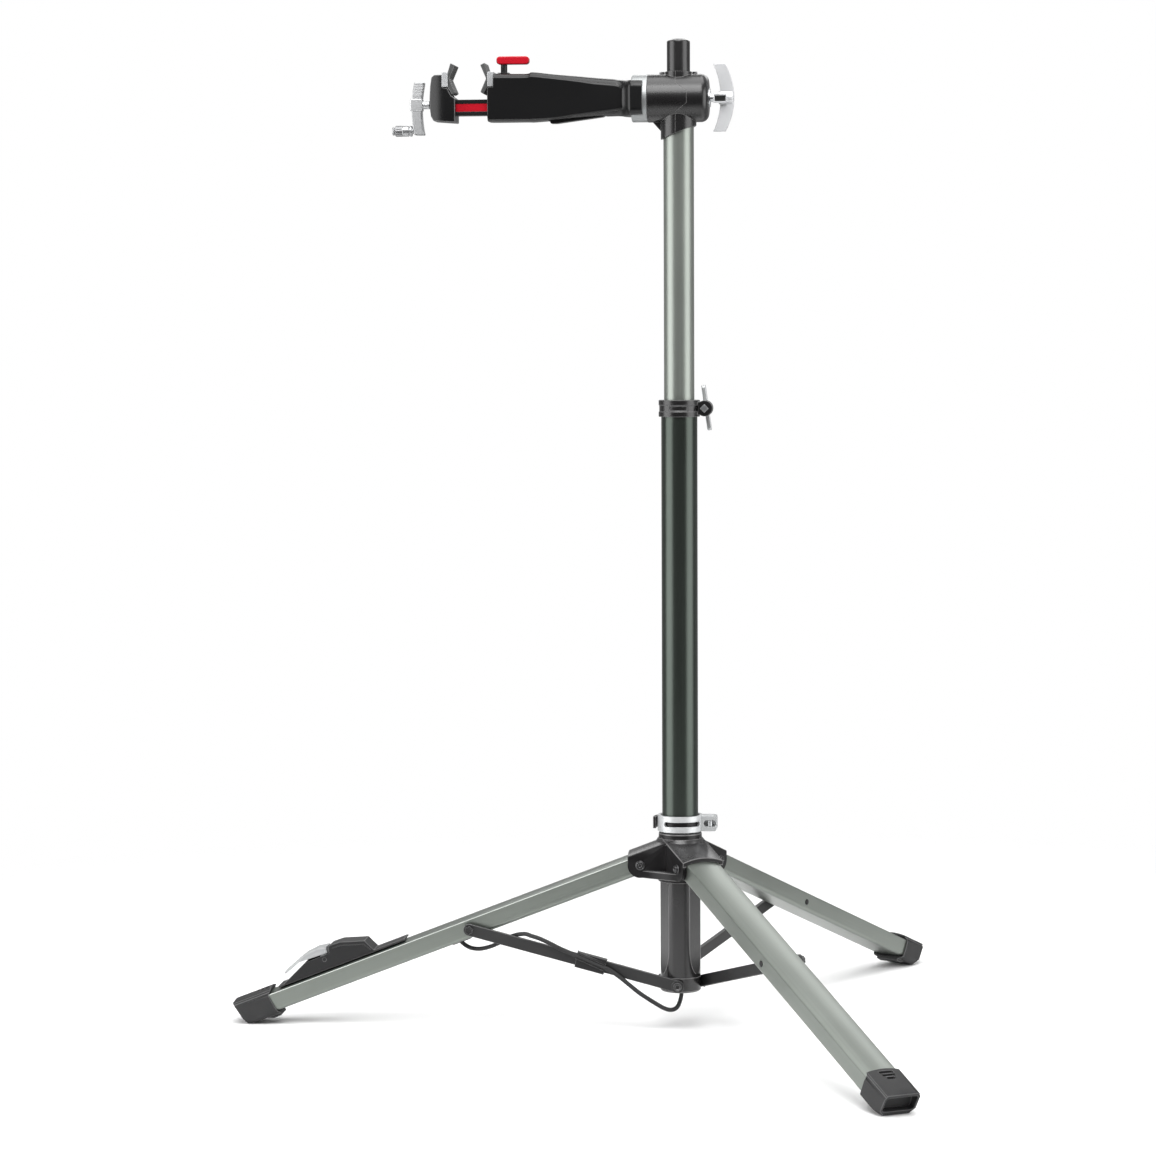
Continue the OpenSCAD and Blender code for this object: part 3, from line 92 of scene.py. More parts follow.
def lightStudio():
    scene.view_settings.view_transform = "Standard"
    world = bpy.data.worlds.new("studio")
    scene.world = world
    world.use_nodes = True
    tree = world.node_tree
    tree.nodes.clear()
    seen = Paint.join(tree, "ShaderNodeLightPath", {}, "Is Camera Ray", {})
    mirrored = Paint.join(tree, "ShaderNodeLightPath", {}, "Is Glossy Ray", {})
    through = Paint.join(tree, "ShaderNodeLightPath", {}, "Is Transmission Ray", {})
    way = Paint.join(tree, "ShaderNodeTexCoord", {}, "Generated", {})
    behind = rising(tree, way, "Y", studio["behind"])
    above = rising(tree, way, "Z", studio["above"])
    room = behind * studio["backdrop"] + (1 - behind) * above * studio["room"]
    light = seen + through + mirrored * room + (1 - seen) * (1 - through) * studio["fill"]
    shade = Paint.join(tree, "ShaderNodeBackground", {}, 0, {"Color": (1, 1, 1, 1), "Strength": light})
    Paint.join(tree, "ShaderNodeOutputWorld", {}, None, {"Surface": shade})
    for name, (x, y, z, wide, high, power) in lamps.items():
        lamp = bpy.data.lights.new(name, "AREA")
        lamp.shape = "RECTANGLE"
        lamp.size, lamp.size_y, lamp.energy = wide, high, power
        box = bpy.data.objects.new(name, lamp)
        scene.collection.objects.link(box)
        box.location = (x + mastX, y, z)
        aim = Vector((mastX, y, z)) if name in ("leftBox", "rightBox") else Vector((mastX, 0, studio["aim"]))
        box.rotation_euler = (aim - box.location).to_track_quat("-Z", "Y").to_euler()


# shader maths: a value on a socket, used in plain sums

class Value:
    def __init__(self, tree, socket):
        self.tree = tree
        self.socket = socket

    def sum(self, operation, first, second):
        return Paint.join(self.tree, "ShaderNodeMath", {"operation": operation}, 0, {0: first, 1: second})

    def __add__(self, other):
        return self.sum("ADD", self, other)

    def __rsub__(self, other):
        return self.sum("SUBTRACT", other, self)

    def __mul__(self, other):
        return self.sum("MULTIPLY", self, other)

    __radd__ = __add__
    __rmul__ = __mul__


# one material: constants go on the shader's sockets, the rest is added as nodes

class Paint:
    def __init__(self, name, **fixed):
        self.material = bpy.data.materials.new(name)
        self.material.use_nodes = True
        self.tree = self.material.node_tree
        self.shader = self.tree.nodes["Principled BSDF"]
        for socket, value in fixed.items():
            self.shader.inputs[socket.replace("_", " ")].default_value = value

    @staticmethod
    def join(tree, kind, settings, outlet, inputs):
        node = tree.nodes.new(kind)
        for key, value in settings.items():
            if key == "stops":
                ramp = node.color_ramp.elements
                while len(ramp) < len(value):
                    ramp.new(0.5)
                for stop, (place, colour) in zip(ramp, value):
                    stop.position = place
                    stop.color = colour
            else:
                setattr(node, key, value)
        for key, value in inputs.items():
            if isinstance(value, Value):
                tree.links.new(value.socket, node.inputs[key])
            else:
                node.inputs[key].default_value = value
        return None if outlet is None else Value(tree, node.outputs[outlet])

    def add(self, kind, settings=None, outlet=0, **inputs):
        named = {key.replace("_", " "): value for key, value in inputs.items()}
        return Paint.join(self.tree, kind, settings or {}, outlet, named)

    def place(self, scale=(1, 1, 1), shift=(0, 0, 0)):
        spot = self.add("ShaderNodeTexCoord", outlet="Object")
        return self.add("ShaderNodeMapping", Vector=spot, Scale=scale, Location=shift)

    def along(self, turn, stretch):
        spot = self.add("ShaderNodeTexCoord", outlet="Object")
        return self.add("ShaderNodeMapping", {"vector_type": "TEXTURE"}, Vector=spot, Rotation=turn,
                        Scale=tuple(1 / v for v in stretch))

    def noise(self, vector, scale, detail=3.0, roughness=0.5):
        return self.add("ShaderNodeTexNoise", outlet="Fac", Vector=vector, Scale=scale, Detail=detail,
                        Roughness=roughness)

    def tint(self, fac, dark, light):
        return self.add("ShaderNodeValToRGB", {"stops": [(0.25, (*dark, 1)), (0.75, (*light, 1))]}, outlet="Color",
                        Fac=fac)

    def bump(self, height, strength, distance):
        self.feed("Normal", self.add("ShaderNodeBump", outlet="Normal", Height=height, Strength=strength,
                                     Distance=distance))

    def feed(self, socket, value):
        self.tree.links.new(value.socket, self.shader.inputs[socket])


# finishes

def drawnAluminium(name, dark, light, turn=(0, 0, 0), rough=0.36, metal=0.75):
    paint = Paint(name, Metallic=metal, Specular_IOR_Level=0.5)      # anodised tube, drawn along its local X
    lines = paint.noise(paint.along(turn, (0.5, 60, 60)), scale=6, detail=4)
    cloud = paint.noise(paint.place(), scale=9, detail=2)
    paint.feed("Base Color", paint.tint(cloud * 0.55 + lines * 0.45, dark, light))
    paint.feed("Roughness", rough - 0.06 + lines * 0.1 + cloud * 0.04)
    paint.bump(lines, strength=0.05, distance=0.0001)
    return paint.material


def castPaint(name, dark, light, rough=0.4, grain=700, depth=0.25, shine=0.5):
    paint = Paint(name, Specular_IOR_Level=shine)                    # painted or powder-coated casting
    pebble = paint.noise(paint.place(), grain, detail=2)
    cloud = paint.noise(paint.place(), scale=16, detail=3)
    paint.feed("Base Color", paint.tint(cloud, dark, light))
    paint.feed("Roughness", rough - 0.07 + cloud * 0.1 + pebble * 0.06)
    paint.bump(pebble, depth, distance=0.00015)
    return paint.material


def mouldedPlastic(name, dark, light, rough=0.35, grain=1400, depth=0.12, shine=0.45):
    paint = Paint(name, Specular_IOR_Level=shine)
    grainy = paint.noise(paint.place(), grain, detail=2)
    flow = paint.noise(paint.place(scale=(0.6, 1, 1)), scale=7, detail=2)
    paint.feed("Base Color", paint.tint(flow, dark, light))
    paint.feed("Roughness", rough - 0.05 + flow * 0.1 + grainy * 0.05)
    paint.bump(grainy, depth, distance=0.0001)
    return paint.material


def brightMetal(name, dark, light, rough=0.24, grain=900, stretch=(1, 1, 1), metal=1.0):
    paint = Paint(name, Metallic=metal)
    fine = paint.noise(paint.place(scale=stretch), grain, detail=3)
    cloud = paint.noise(paint.place(), scale=22, detail=2)
    paint.feed("Base Color", paint.tint(cloud, dark, light))
    paint.feed("Roughness", rough - 0.05 + fine * 0.06 + cloud * 0.05)
    paint.bump(fine, strength=0.03, distance=0.0001)
    return paint.material


def dullRubber(name, dark, light, rough=0.68):
    paint = Paint(name, Specular_IOR_Level=0.35)
    dust = paint.noise(paint.place(), scale=40, detail=4, roughness=0.65)
    skin = paint.noise(paint.place(), scale=900, detail=2)
    paint.feed("Base Color", paint.tint(dust, dark, light))
    paint.feed("Roughness", rough - 0.08 + dust * 0.12 + skin * 0.05)
    paint.bump(skin, strength=0.3, distance=0.0002)
    return paint.material


legSlope = math.radians(21.2)
legTurns = (math.pi, -math.pi / 3, math.pi / 3)

def makeFinishes():
    upright = (0, -math.pi / 2, 0)
    made = {
        "anodised_dark": drawnAluminium("darkTube", (0.044, 0.053, 0.046), (0.056, 0.066, 0.058), upright,
                                        rough=0.29, metal=0.85),
        "anodised_sage": drawnAluminium("sageTube", (0.190, 0.206, 0.188), (0.228, 0.247, 0.226), upright,
                                        rough=0.36, metal=0.72),
        "cast_black": castPaint("blackCasting", (0.0045, 0.0042, 0.0045), (0.008, 0.0076, 0.008), rough=0.27),
        "dullBlack": castPaint("dullBlack", (0.0045, 0.0042, 0.0045), (0.008, 0.0076, 0.008), rough=0.3, shine=0.2),
        # the hub's roof paint: a paler copy of its black for faces that look up, painted light
        "paintedHubRoofLight": castPaint("paintedHubRoofLight", (0.020, 0.0195, 0.020), (0.030, 0.0292, 0.030), rough=0.26),
        # the edge finishes below (cast, grey, strut, leg, rubber, plastic) are paler copies of each part's paint,
        # laid on the rounded edges as painted highlight
        "castEdgeHighlight": castPaint("castingEdgeHighlight", (0.085, 0.083, 0.083), (0.12, 0.118, 0.118), rough=0.3),
        "cast_grey": castPaint("greyCasting", (0.010, 0.0097, 0.010), (0.016, 0.0155, 0.016), rough=0.22),
        "greyEdgeHighlight": castPaint("greyEdgeHighlight", (0.11, 0.108, 0.108), (0.15, 0.148, 0.148), rough=0.34),
        "strut_black": castPaint("strutPaint", (0.013, 0.013, 0.0134), (0.020, 0.020, 0.0204), rough=0.42,
                                 shine=0.35),
        "strutEdgeHighlight": castPaint("strutEdgeHighlight", (0.06, 0.06, 0.061), (0.085, 0.085, 0.086), rough=0.38),
        "legEdgeHighlight": brightMetal("legEdgeHighlight", (0.50, 0.53, 0.50), (0.60, 0.63, 0.60), rough=0.36, metal=0.6),
        "rubberEdgeHighlight": dullRubber("rubberEdgeHighlight", (0.055, 0.055, 0.056), (0.08, 0.08, 0.081), rough=0.5),
        "plasticEdgeHighlight": mouldedPlastic("plasticEdgeHighlight", (0.06, 0.06, 0.061), (0.085, 0.085, 0.086), rough=0.34),
        "satin": brightMetal("satinSilver", (0.42, 0.43, 0.435), (0.50, 0.51, 0.515), rough=0.42, metal=0.55),
        "wingSilver": brightMetal("wingSilver", (0.50, 0.505, 0.515), (0.57, 0.575, 0.585), rough=0.38, metal=0.35),
        "ringSilver": brightMetal("ringSilver", (0.25, 0.26, 0.262), (0.31, 0.32, 0.322), rough=0.4, metal=0.6),
        "treadSilver": brightMetal("treadSilver", (0.35, 0.358, 0.362), (0.41, 0.418, 0.422), rough=0.46, metal=0.35),
        "gripSteel": brightMetal("gripSteel", (0.30, 0.305, 0.31), (0.36, 0.365, 0.37), rough=0.3, metal=0.75),
        "crankSilver": brightMetal("crankSilver", (0.44, 0.445, 0.452), (0.52, 0.525, 0.532), rough=0.3, metal=0.5),
        "plated": brightMetal("platedSilver", (0.50, 0.51, 0.52), (0.60, 0.61, 0.62), rough=0.26, metal=0.5),
        "boltBlack": brightMetal("boltBlack", (0.012, 0.012, 0.0122), (0.02, 0.02, 0.0203), rough=0.34, grain=600,
                                 metal=0.3),
        "steel": brightMetal("turnedSteel", (0.42, 0.43, 0.44), (0.55, 0.56, 0.57), rough=0.3, stretch=(1, 1, 0.1)),
        "dark_steel": brightMetal("blackenedSteel", (0.13, 0.13, 0.133), (0.19, 0.19, 0.194), rough=0.3, grain=600),
        "rubber": dullRubber("footRubber", (0.015, 0.015, 0.0154), (0.024, 0.024, 0.0245)),
        "pad_rubber": dullRubber("padRubber", (0.038, 0.040, 0.0395), (0.058, 0.060, 0.0595), rough=0.6),
        "moulded_black": mouldedPlastic("blackNylon", (0.009, 0.009, 0.0094), (0.015, 0.015, 0.0155), rough=0.36,
                                        shine=0.28),
        "moulded_gloss": mouldedPlastic("armNylon", (0.0022, 0.0022, 0.0024), (0.0042, 0.0042, 0.0045), rough=0.27,
                                        shine=0.3),
        "red": mouldedPlastic("redPlastic", (0.38, 0.0035, 0.012), (0.46, 0.006, 0.018), rough=0.3, shine=0.25),
    }
    for i, az in enumerate(legTurns):
        along = (Matrix.Rotation(az, 3, "Z") @ Matrix.Rotation(legSlope, 3, "Y")).to_euler("XYZ")
        made["leg_%d" % (i + 1)] = drawnAluminium("legTube%d" % (i + 1), (0.170, 0.186, 0.169), (0.206, 0.224, 0.204),
                                                  tuple(along), rough=0.33, metal=0.85)
    return made


finishes = makeFinishes()
print("finishes made:", len(finishes))


# a node's own mesh, merged and given rounded edges; a second, paler paint on the edges as painted highlight (darker
# on the crank, as painted shade), another on sunk floors as painted shade and on the hub's roof as painted light

creaseAngle = 32
weld = 2e-6
carvedWeld = 2e-5
flatTurn = math.radians(0.4)
ownFinish = {"wing_handle": "wingSilver", "crank": "crankSilver", "crank_grip": "gripSteel", "hub_collar": "satin",
             "friction_ring": "ringSilver", "pedal_tread": "treadSilver", "fixed_bracket": "plated",
             "jaw_bracket": "plated", "collar_wing_nut": "satin", "pedal_pin": "moulded_black",
             "hub_bolts": "boltBlack", "strut_bolt_1": "dullBlack", "strut_bolt_2": "dullBlack",
             "strut_bolt_3": "dullBlack", "height_collar": "cast_black", "leg_hub": "dullBlack"}
# rounded edges painted paler than the part as painted highlight; the crank's edges painted in the darker gripSteel as
# painted shade, the hub bolts' in the paler dark_steel as painted highlight
paintedEdgeLightShade = {"leg_hub": "castEdgeHighlight", "crank": "gripSteel", "head_left_shell": "castEdgeHighlight",
              "head_right_shell": "castEdgeHighlight", "mast_foot": "greyEdgeHighlight", "strut_bracket": "greyEdgeHighlight",
              "hub_lever": "greyEdgeHighlight", "leg_1": "legEdgeHighlight", "strut_1": "strutEdgeHighlight",
              "strut_2": "strutEdgeHighlight", "strut_3": "strutEdgeHighlight", "foot_1": "rubberEdgeHighlight", "foot_2": "rubberEdgeHighlight",
              "foot_3": "rubberEdgeHighlight", "pedal_housing": "plasticEdgeHighlight", "height_collar": "plasticEdgeHighlight",
              "cable_clip": "plasticEdgeHighlight", "fixed_pad": "strutEdgeHighlight", "jaw_pad": "strutEdgeHighlight",
              "hub_bolts": "dark_steel"}
edgeAngle = {"mast_foot": 13, "foot_1": 48, "foot_2": 48, "foot_3": 48}
longEdges = {"leg_hub": 2.2}
# near-black on sunk floors is painted shade; the hub's paler roof is painted light
paintedSunkShadeRoofLight = {"wing_handle": "boltBlack", "leg_hub": "paintedHubRoofLight", "foot_1": "dullBlack", "foot_2": "dullBlack",
              "foot_3": "dullBlack"}

def finishFor(node):
    return finishes.get(node) or finishes[ownFinish.get(node, nodeSlot[node])]


def weighEdges(work, shortest):
    weight = work.edges.layers.float.new("bevel_weight_edge")
    for edge in work.edges:
        bend = edge.calc_face_angle_signed() if edge.is_manifold else 0.0
        chosen = bend > math.radians(creaseAngle) and edge.calc_length() > shortest * mm
        edge[weight] = 1.0 if chosen else 0.0
        edge.smooth = chosen or abs(bend) < math.radians(creaseAngle)


def ownMesh(node):
    mesh = frame["nodes"][node].data.copy()
    work = bmesh.new()
    work.from_mesh(mesh)
    bmesh.ops.remove_doubles(work, verts=work.verts, dist=weld)
    bmesh.ops.dissolve_limit(work, angle_limit=flatTurn, verts=work.verts, edges=work.edges)
    if node in longEdges:
        weighEdges(work, longEdges[node])
    work.to_mesh(mesh)
    work.free()
    mesh.materials.clear()
    return mesh


def settle(piece, node):
    piece.data.materials.append(finishFor(node))
    for second in (paintedEdgeLightShade, paintedSunkShadeRoofLight):
        if node in second:
            piece.data.materials.append(finishes[second[node]])
    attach(piece, nodeBody[node])
    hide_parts(node)
    return piece


def roundEdges(piece, width, angle, material):
    for face in piece.data.polygons:
        face.use_smooth = True
    edge = piece.modifiers.new("edge", "BEVEL")
    edge.width = width * mm
    edge.segments = 2
    edge.limit_method = "ANGLE" if angle else "WEIGHT"
    edge.angle_limit = math.radians(angle)
    edge.material = material
    edge.use_clamp_overlap = False
    edge.harden_normals = False
    edge.miter_outer = "MITER_ARC"
    even = piece.modifiers.new("even", "WEIGHTED_NORMAL")
    even.keep_sharp = not angle


def softEdged(node, width, mesh):
    piece = bpy.data.objects.new(node + "_skin", mesh)
    scene.collection.objects.link(piece)
    angle = 0 if node in longEdges else edgeAngle.get(node, creaseAngle)
    roundEdges(piece, width, angle, 1 if node in paintedEdgeLightShade else -1)
    return settle(piece, node)


edgeWidths = {
    "lower_tube": 0.25, "upper_tube": 0.25, "mast_foot": 0.5, "strut_bracket": 0.8, "tube_bush": 0.3,
    "height_collar": 0.7, "collar_bolt": 0.5, "collar_wing_nut": 1.2, "leg_hub": 0.8, "hub_collar": 0.35,
    "hub_bolts": 0.35, "collar_barrel": 0.3, "hub_lever": 0.8, "leg_1": 0.9, "leg_2": 0.9, "leg_3": 0.9,
    "foot_1": 0.8, "foot_2": 0.8, "foot_3": 0.8, "strut_1": 0.7, "strut_2": 0.7, "strut_3": 0.7,
    "strut_bolt_1": 0.4, "strut_bolt_2": 0.4, "strut_bolt_3": 0.4, "pedal_housing": 0.7,
    "cable_grommet": 0.5, "cable_clip": 0.6, "head_left_shell": 0.3, "head_right_shell": 0.3, "head_bolts": 0.3,
    "accessory_post": 0.5, "wing_handle": 0.5, "arm_cover": 0.8,
    "friction_ring": 0.6, "slider_bush": 0.4, "fixed_pad": 1.0, "release_base": 0.4, "release_bar": 1.6,
    "release_stem": 0.4, "rail": 0.4, "jaw_pad": 1.0, "crank": 1.4,
}

# new shapes: an outline pulled along Y, a closed profile spun about X, a lobed disc along Y

def pulled(work, outline, low, high):
    face = work.faces.new([work.verts.new((x * mm, low * mm, z * mm)) for x, z in outline])
    grown = bmesh.ops.extrude_face_region(work, geom=[face])["geom"]
    ends = [v for v in grown if isinstance(v, bmesh.types.BMVert)]
    bmesh.ops.translate(work, verts=ends, vec=(0, (high - low) * mm, 0))
    return list(face.verts) + ends


def rectangle(left, right, low, high):
    return [(left, low), (right, low), (right, high), (left, high)]


def spun(work, loop, steps):
    ring = [work.verts.new((x * mm, 0, r * mm)) for x, r in loop]
    rim = [work.edges.new((a, b)) for a, b in zip(ring, ring[1:] + ring[:1])]
    bmesh.ops.spin(work, geom=ring + rim, cent=(0, 0, 0), axis=(1, 0, 0), angle=2 * math.pi, steps=steps,
                   use_merge=True)


def lobed(work, radius, swing, lobes, low, high, perLobe=6):
    count = lobes * perLobe
    outline = []
    for k in range(count):
        turn = 2 * math.pi * k / count
        reach = radius + swing * math.cos(lobes * turn)
        outline.append((reach * math.cos(turn), reach * math.sin(turn)))
    return pulled(work, outline, low, high)


def addPiece(name, work, place, node, finish, width, replaced=None, edge=None, angle=creaseAngle):
    bmesh.ops.recalc_face_normals(work, faces=work.faces)
    bmesh.ops.transform(work, matrix=place, verts=work.verts)
    mesh = bpy.data.meshes.new(name)
    work.to_mesh(mesh)
    work.free()
    piece = bpy.data.objects.new(name, mesh)
    scene.collection.objects.link(piece)
    mesh.materials.append(finishes[finish])
    # the bevels take the paler edge finish, painted highlight
    if edge:
        mesh.materials.append(finishes[edge])
    roundEdges(piece, width, angle, 1 if edge else -1)
    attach(piece, nodeBody[node])
    if replaced:
        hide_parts(replaced)
    return piece


def smoothRoute(points, steps):
    out = []
    for i in range(len(points) - 1):
        a, b = points[max(i - 1, 0)], points[i]
        c, d = points[i + 1], points[min(i + 2, len(points) - 1)]
        for k in range(steps):
            t = k / steps
            out.append(0.5 * (2 * b + (c - a) * t + (2 * a - 5 * b + 4 * c - d) * t ** 2
                              + (3 * b - a - 3 * c + d) * t ** 3))
    return out + [points[-1]]


onMast = Matrix.Translation((mastX, 0, 0))
legPivot = (53.7, 232.5)
strutPivot = (1.8, 63.7)

def onLeg(i):
    pivot = Matrix.Translation((legPivot[0] * mm, 0, legPivot[1] * mm))
    return onMast @ Matrix.Rotation(legTurns[i], 4, "Z") @ pivot @ Matrix.Rotation(legSlope, 4, "Y")


# crank: hub block, fine cross ridges and a turned grip with a knurled end

crankPiece = {"x": -356.9, "screwZ": 1285.0, "gripZ": 1249.5, "block": (-14.2, 2.6, -8.5, 8.5), "blockHalf": 9.6,
              "outerBow": (190, -12), "innerBow": (170, 1.5), "bowMid": -6, "half": 8.5, "ridges": 7,
              "ridgeZ": 13.0, "ridgeStep": 2.1, "ridgeThick": 0.9, "ridgeOut": 0.2, "gripSteps": 48,
              "grip": [(-36, 4.2), (-36, 6.6), (-35.4, 7.2), (-25.6, 7.2), (-25.2, 7.5), (-17.2, 7.5), (-16.8, 6.1),
                       (-15.6, 6.1), (-15.2, 7.5), (-12.9, 7.5), (-12.5, 7.1), (-12.5, 4.2)],
              "knurl": {"radius": 7.3, "swing": 0.25, "lobes": 16, "low": -35, "high": -26}}

def bowFaces(z):
    faces = []
    for bow in ("outerBow", "innerBow"):
        radius, start = crankPiece[bow]
        faces.append(radius - math.sqrt(radius ** 2 - (z - crankPiece["bowMid"]) ** 2) + start)
    return faces


def dressCrank():
    c = crankPiece
    place = onMast @ Matrix.Translation((c["x"] * mm, 0, c["screwZ"] * mm))
    work = bmesh.new()
    pulled(work, rectangle(*c["block"]), -c["blockHalf"], c["blockHalf"])
    addPiece("crank_block", work, place, "crank", "crankSilver", 1.6)
    work = bmesh.new()
    out = c["ridgeOut"]
    half = c["half"] + out
    for k in range(c["ridges"]):
        z = c["ridgeZ"] + k * c["ridgeStep"]
        left, right = bowFaces(z)
        pulled(work, rectangle(left - out, right + out, z, z + c["ridgeThick"]), -half, half)
    addPiece("crank_ridges", work, place, "crank", "crankSilver", 0.25)
    work = bmesh.new()
    spun(work, c["grip"], c["gripSteps"])
    place = onMast @ Matrix.Translation((c["x"] * mm, 0, c["gripZ"] * mm))
    addPiece("crank_grip_turned", work, place, "crank_grip", "gripSteel", 0.2, replaced="crank_grip")
    work = bmesh.new()
    knurl = lobed(work, **c["knurl"])
    bmesh.ops.rotate(work, cent=(0, 0, 0), matrix=Matrix.Rotation(-math.pi / 2, 3, "Z"), verts=knurl)
    addPiece("crank_grip_knurl", work, place, "crank_grip", "dark_steel", 0.1)


dressCrank()


# pad brackets: the channel at the pad's full width, closed by a flange at each end

bracketPiece = {"flange": 1.6, "lap": 0.05, "corner": 2.2, "cornerSteps": 4, "spare": 0.15, "level": 1e-4}

def dressBracket(node, pad):
    b = bracketPiece
    low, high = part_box(node)
    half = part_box(pad)[1][1] / mm + b["spare"]
    work = bmesh.new()
    skin = ownMesh(node)
    work.from_mesh(skin)
    bpy.data.meshes.remove(skin)
    bmesh.ops.scale(work, vec=(1, half * mm / high[1], 1), verts=work.verts)
    for near, far in ((half - b["lap"], half + b["flange"]), (-half - b["flange"], b["lap"] - half)):
        plate = pulled(work, rectangle(low[0] / mm, high[0] / mm, low[2] / mm, high[2] / mm), near, far)
        corners = [e for e in work.edges if e.verts[0] in plate and e.verts[1] in plate
                   and abs(e.verts[0].co.y - e.verts[1].co.y) > b["level"]]
        bmesh.ops.bevel(work, geom=corners, offset=b["corner"] * mm, segments=b["cornerSteps"], profile=0.5,
                        affect="EDGES", material=-1)
    addPiece(node + "_flanged", work, Matrix(), node, "plated", 0.35, replaced=node)


dressBracket("fixed_bracket", "fixed_pad")
dressBracket("jaw_bracket", "jaw_pad")


# strut bolts: a lobed head with a socket at each end of a strut, on a serrated flange at the mast's foot

strutHead = {"seat": 34.4, "flange": 8.6, "serrate": 0.35, "serrations": 14, "flangeThick": 1.7, "boss": 37.6,
             "head": 5.5, "lobe": 0.5, "lobes": 6, "headThick": 2.2, "socket": 2.3, "deep": 1.6, "onLeg": 256.7,
             "legBoss": 35.2, "legDeep": 1.2, "legHeadThick": 3.7}

def socketHead(work, low, high, deep):
    h = strutHead
    lobed(work, h["head"], h["lobe"], h["lobes"], low, high)
    top = max(work.faces, key=lambda f: f.calc_center_median().y)
    bmesh.ops.inset_region(work, faces=[top], thickness=h["socket"] * mm)
    bmesh.ops.translate(work, verts=list(top.verts), vec=(0, -deep * mm, 0))


# each head's rounded rims are painted in the paler dark_steel as painted highlight
def dressStrutBolts():
    h = strutHead
    for i, turn in enumerate(legTurns):
        work = bmesh.new()
        socketHead(work, h["legBoss"], h["legBoss"] + h["legHeadThick"], h["legDeep"])
        place = onLeg(i) @ Matrix.Translation((h["onLeg"] * mm, 0, 0))
        addPiece("strut_top_%d" % (i + 1), work, place, "strut_bolt_%d" % (i + 1), "boltBlack", 0.25,
                 edge="dark_steel")
        work = bmesh.new()
        lobed(work, h["flange"], h["serrate"], h["serrations"], h["seat"], h["seat"] + h["flangeThick"])
        socketHead(work, h["boss"], h["boss"] + h["headThick"], h["deep"])
        place = (onMast @ Matrix.Rotation(turn, 4, "Z")
                 @ Matrix.Translation((strutPivot[0] * mm, 0, strutPivot[1] * mm)))
        addPiece("strut_head_%d" % (i + 1), work, place, "strut_%d" % (i + 1), "boltBlack", 0.25, edge="dark_steel")


dressStrutBolts()


# pedal: a raised rim on both sides of the housing; the tread's bent plate with cross bars, its skirt and hinge block
# outlines are measured from the housing's outer end, and from its floor or roof

pedalPiece = {"out": 542.945, "floor": 19.2, "roof": 47.2, "half": 20.0, "rimSunk": 0.3, "rimProud": 0.6,
              "rimWide": 1.5, "rimFoot": (-143.5, 2.5), "rimRoof": [(-136.5, -14.6), (-105, -4.6), (-92, -4.2)],
              "treadHalf": 17.2, "plate": 3.2, "plateRoof": [(-84, -0.5), (-69, 1.8), (-51, 0)],
              "plateToe": (-15, 14.7), "step": 0.6, "skirtHeel": (-82.6, 19), "skirtToe": (-50, 20),
              "skirtRoof": [(-83, -3.4), (-69, -1.2), (-51.5, -3), (-41, -7.4)],
              "pivot": (466.945, 31.2), "block": (-5, 5, -5, 10), "blockStep": 2,
              "bars": 5, "barFrom": -46, "barPitch": 6.4, "barLong": 2.6, "barHigh": 0.7, "barSunk": 0.5,
              "barStep": 3}

def ribbon(points, wide):
    lower = []
    for i, here in enumerate(points):
        before, after = points[max(i - 1, 0)], points[min(i + 1, len(points) - 1)]
        run = Vector((after[0] - before[0], after[1] - before[1])).normalized()
        lower.append((here[0] + run.y * wide, here[1] - run.x * wide))
    return points + lower[::-1]


def pedalPoints(points, level):
    return [(pedalPiece["out"] + u, pedalPiece[level] + v) for u, v in points]


def dressPedal():
    p = pedalPiece
    rim = pedalPoints([p["rimFoot"]], "floor") + pedalPoints(p["rimRoof"], "roof")
    work = bmesh.new()
    for side in (-1, 1):
        low, high = sorted((side * (p["half"] - p["rimSunk"]), side * (p["half"] + p["rimProud"])))
        pulled(work, ribbon(rim, p["rimWide"]), low, high)
    # the rim's rounded edges are painted paler, painted highlight
    addPiece("pedal_rim", work, onLeg(0), "pedal_housing", "moulded_black", 0.3, edge="plasticEdgeHighlight")
    half = p["treadHalf"]
    top = pedalPoints(p["plateRoof"], "roof") + pedalPoints([p["plateToe"]], "floor")
    work = bmesh.new()
    pulled(work, ribbon(top, p["plate"]), -half, half)
    skirt = (pedalPoints([p["skirtHeel"]], "floor") + pedalPoints(p["skirtRoof"], "roof")
             + pedalPoints([p["skirtToe"]], "floor"))
    pulled(work, skirt, p["step"] - half, half - p["step"])
    left, right, low, high = p["block"]
    pivotU, pivotV = p["pivot"]
    pulled(work, rectangle(pivotU + left, pivotU + right, pivotV + low, pivotV + high),
           p["blockStep"] - half, half - p["blockStep"])
    (bendU, bendV), (toeU, toeV) = top[-2:]
    slope = (toeV - bendV) / (toeU - bendU)
    for k in range(p["bars"]):
        u = p["out"] + p["barFrom"] + p["barPitch"] * k
        v = bendV + slope * (u - bendU) + p["barHigh"]
        bar = [(u, v), (u + p["barLong"], v + p["barLong"] * slope)]
        pulled(work, ribbon(bar, p["barHigh"] + p["barSunk"]), p["barStep"] - half, half - p["barStep"])
    addPiece("tread_plate", work, onLeg(0), "pedal_tread", "treadSilver", 0.4, replaced="pedal_tread")


dressPedal()


# wing handle: a slot sunk in the lug on its hub, its floor painted near-black as painted shade

wingPiece = {"lip": 2.3, "deep": 3.0}

def sunkWing(node):
    mesh = ownMesh(node)
    work = bmesh.new()
    work.from_mesh(mesh)
    front = min(work.faces, key=lambda f: f.calc_center_median().y)
    bmesh.ops.inset_region(work, faces=[front], thickness=wingPiece["lip"] * mm)
    bmesh.ops.translate(work, verts=list(front.verts), vec=(0, wingPiece["deep"] * mm, 0))
    front.material_index = 1
    work.to_mesh(mesh)
    work.free()
    return mesh


# moving jaw: a moulded block that narrows to a round nose

jawPiece = {"left": -343.9, "right": -306.9, "seat": -324.9, "top": 1325.3, "mid": 1293.5, "bottom": 1259.9,
            "step": 1293.0, "ledge": 1306.5, "half": 21.0, "bulge": 0.4, "bulgeLong": 27.0, "bulgeSteps": 9,
            "nearCut": 1e-6}

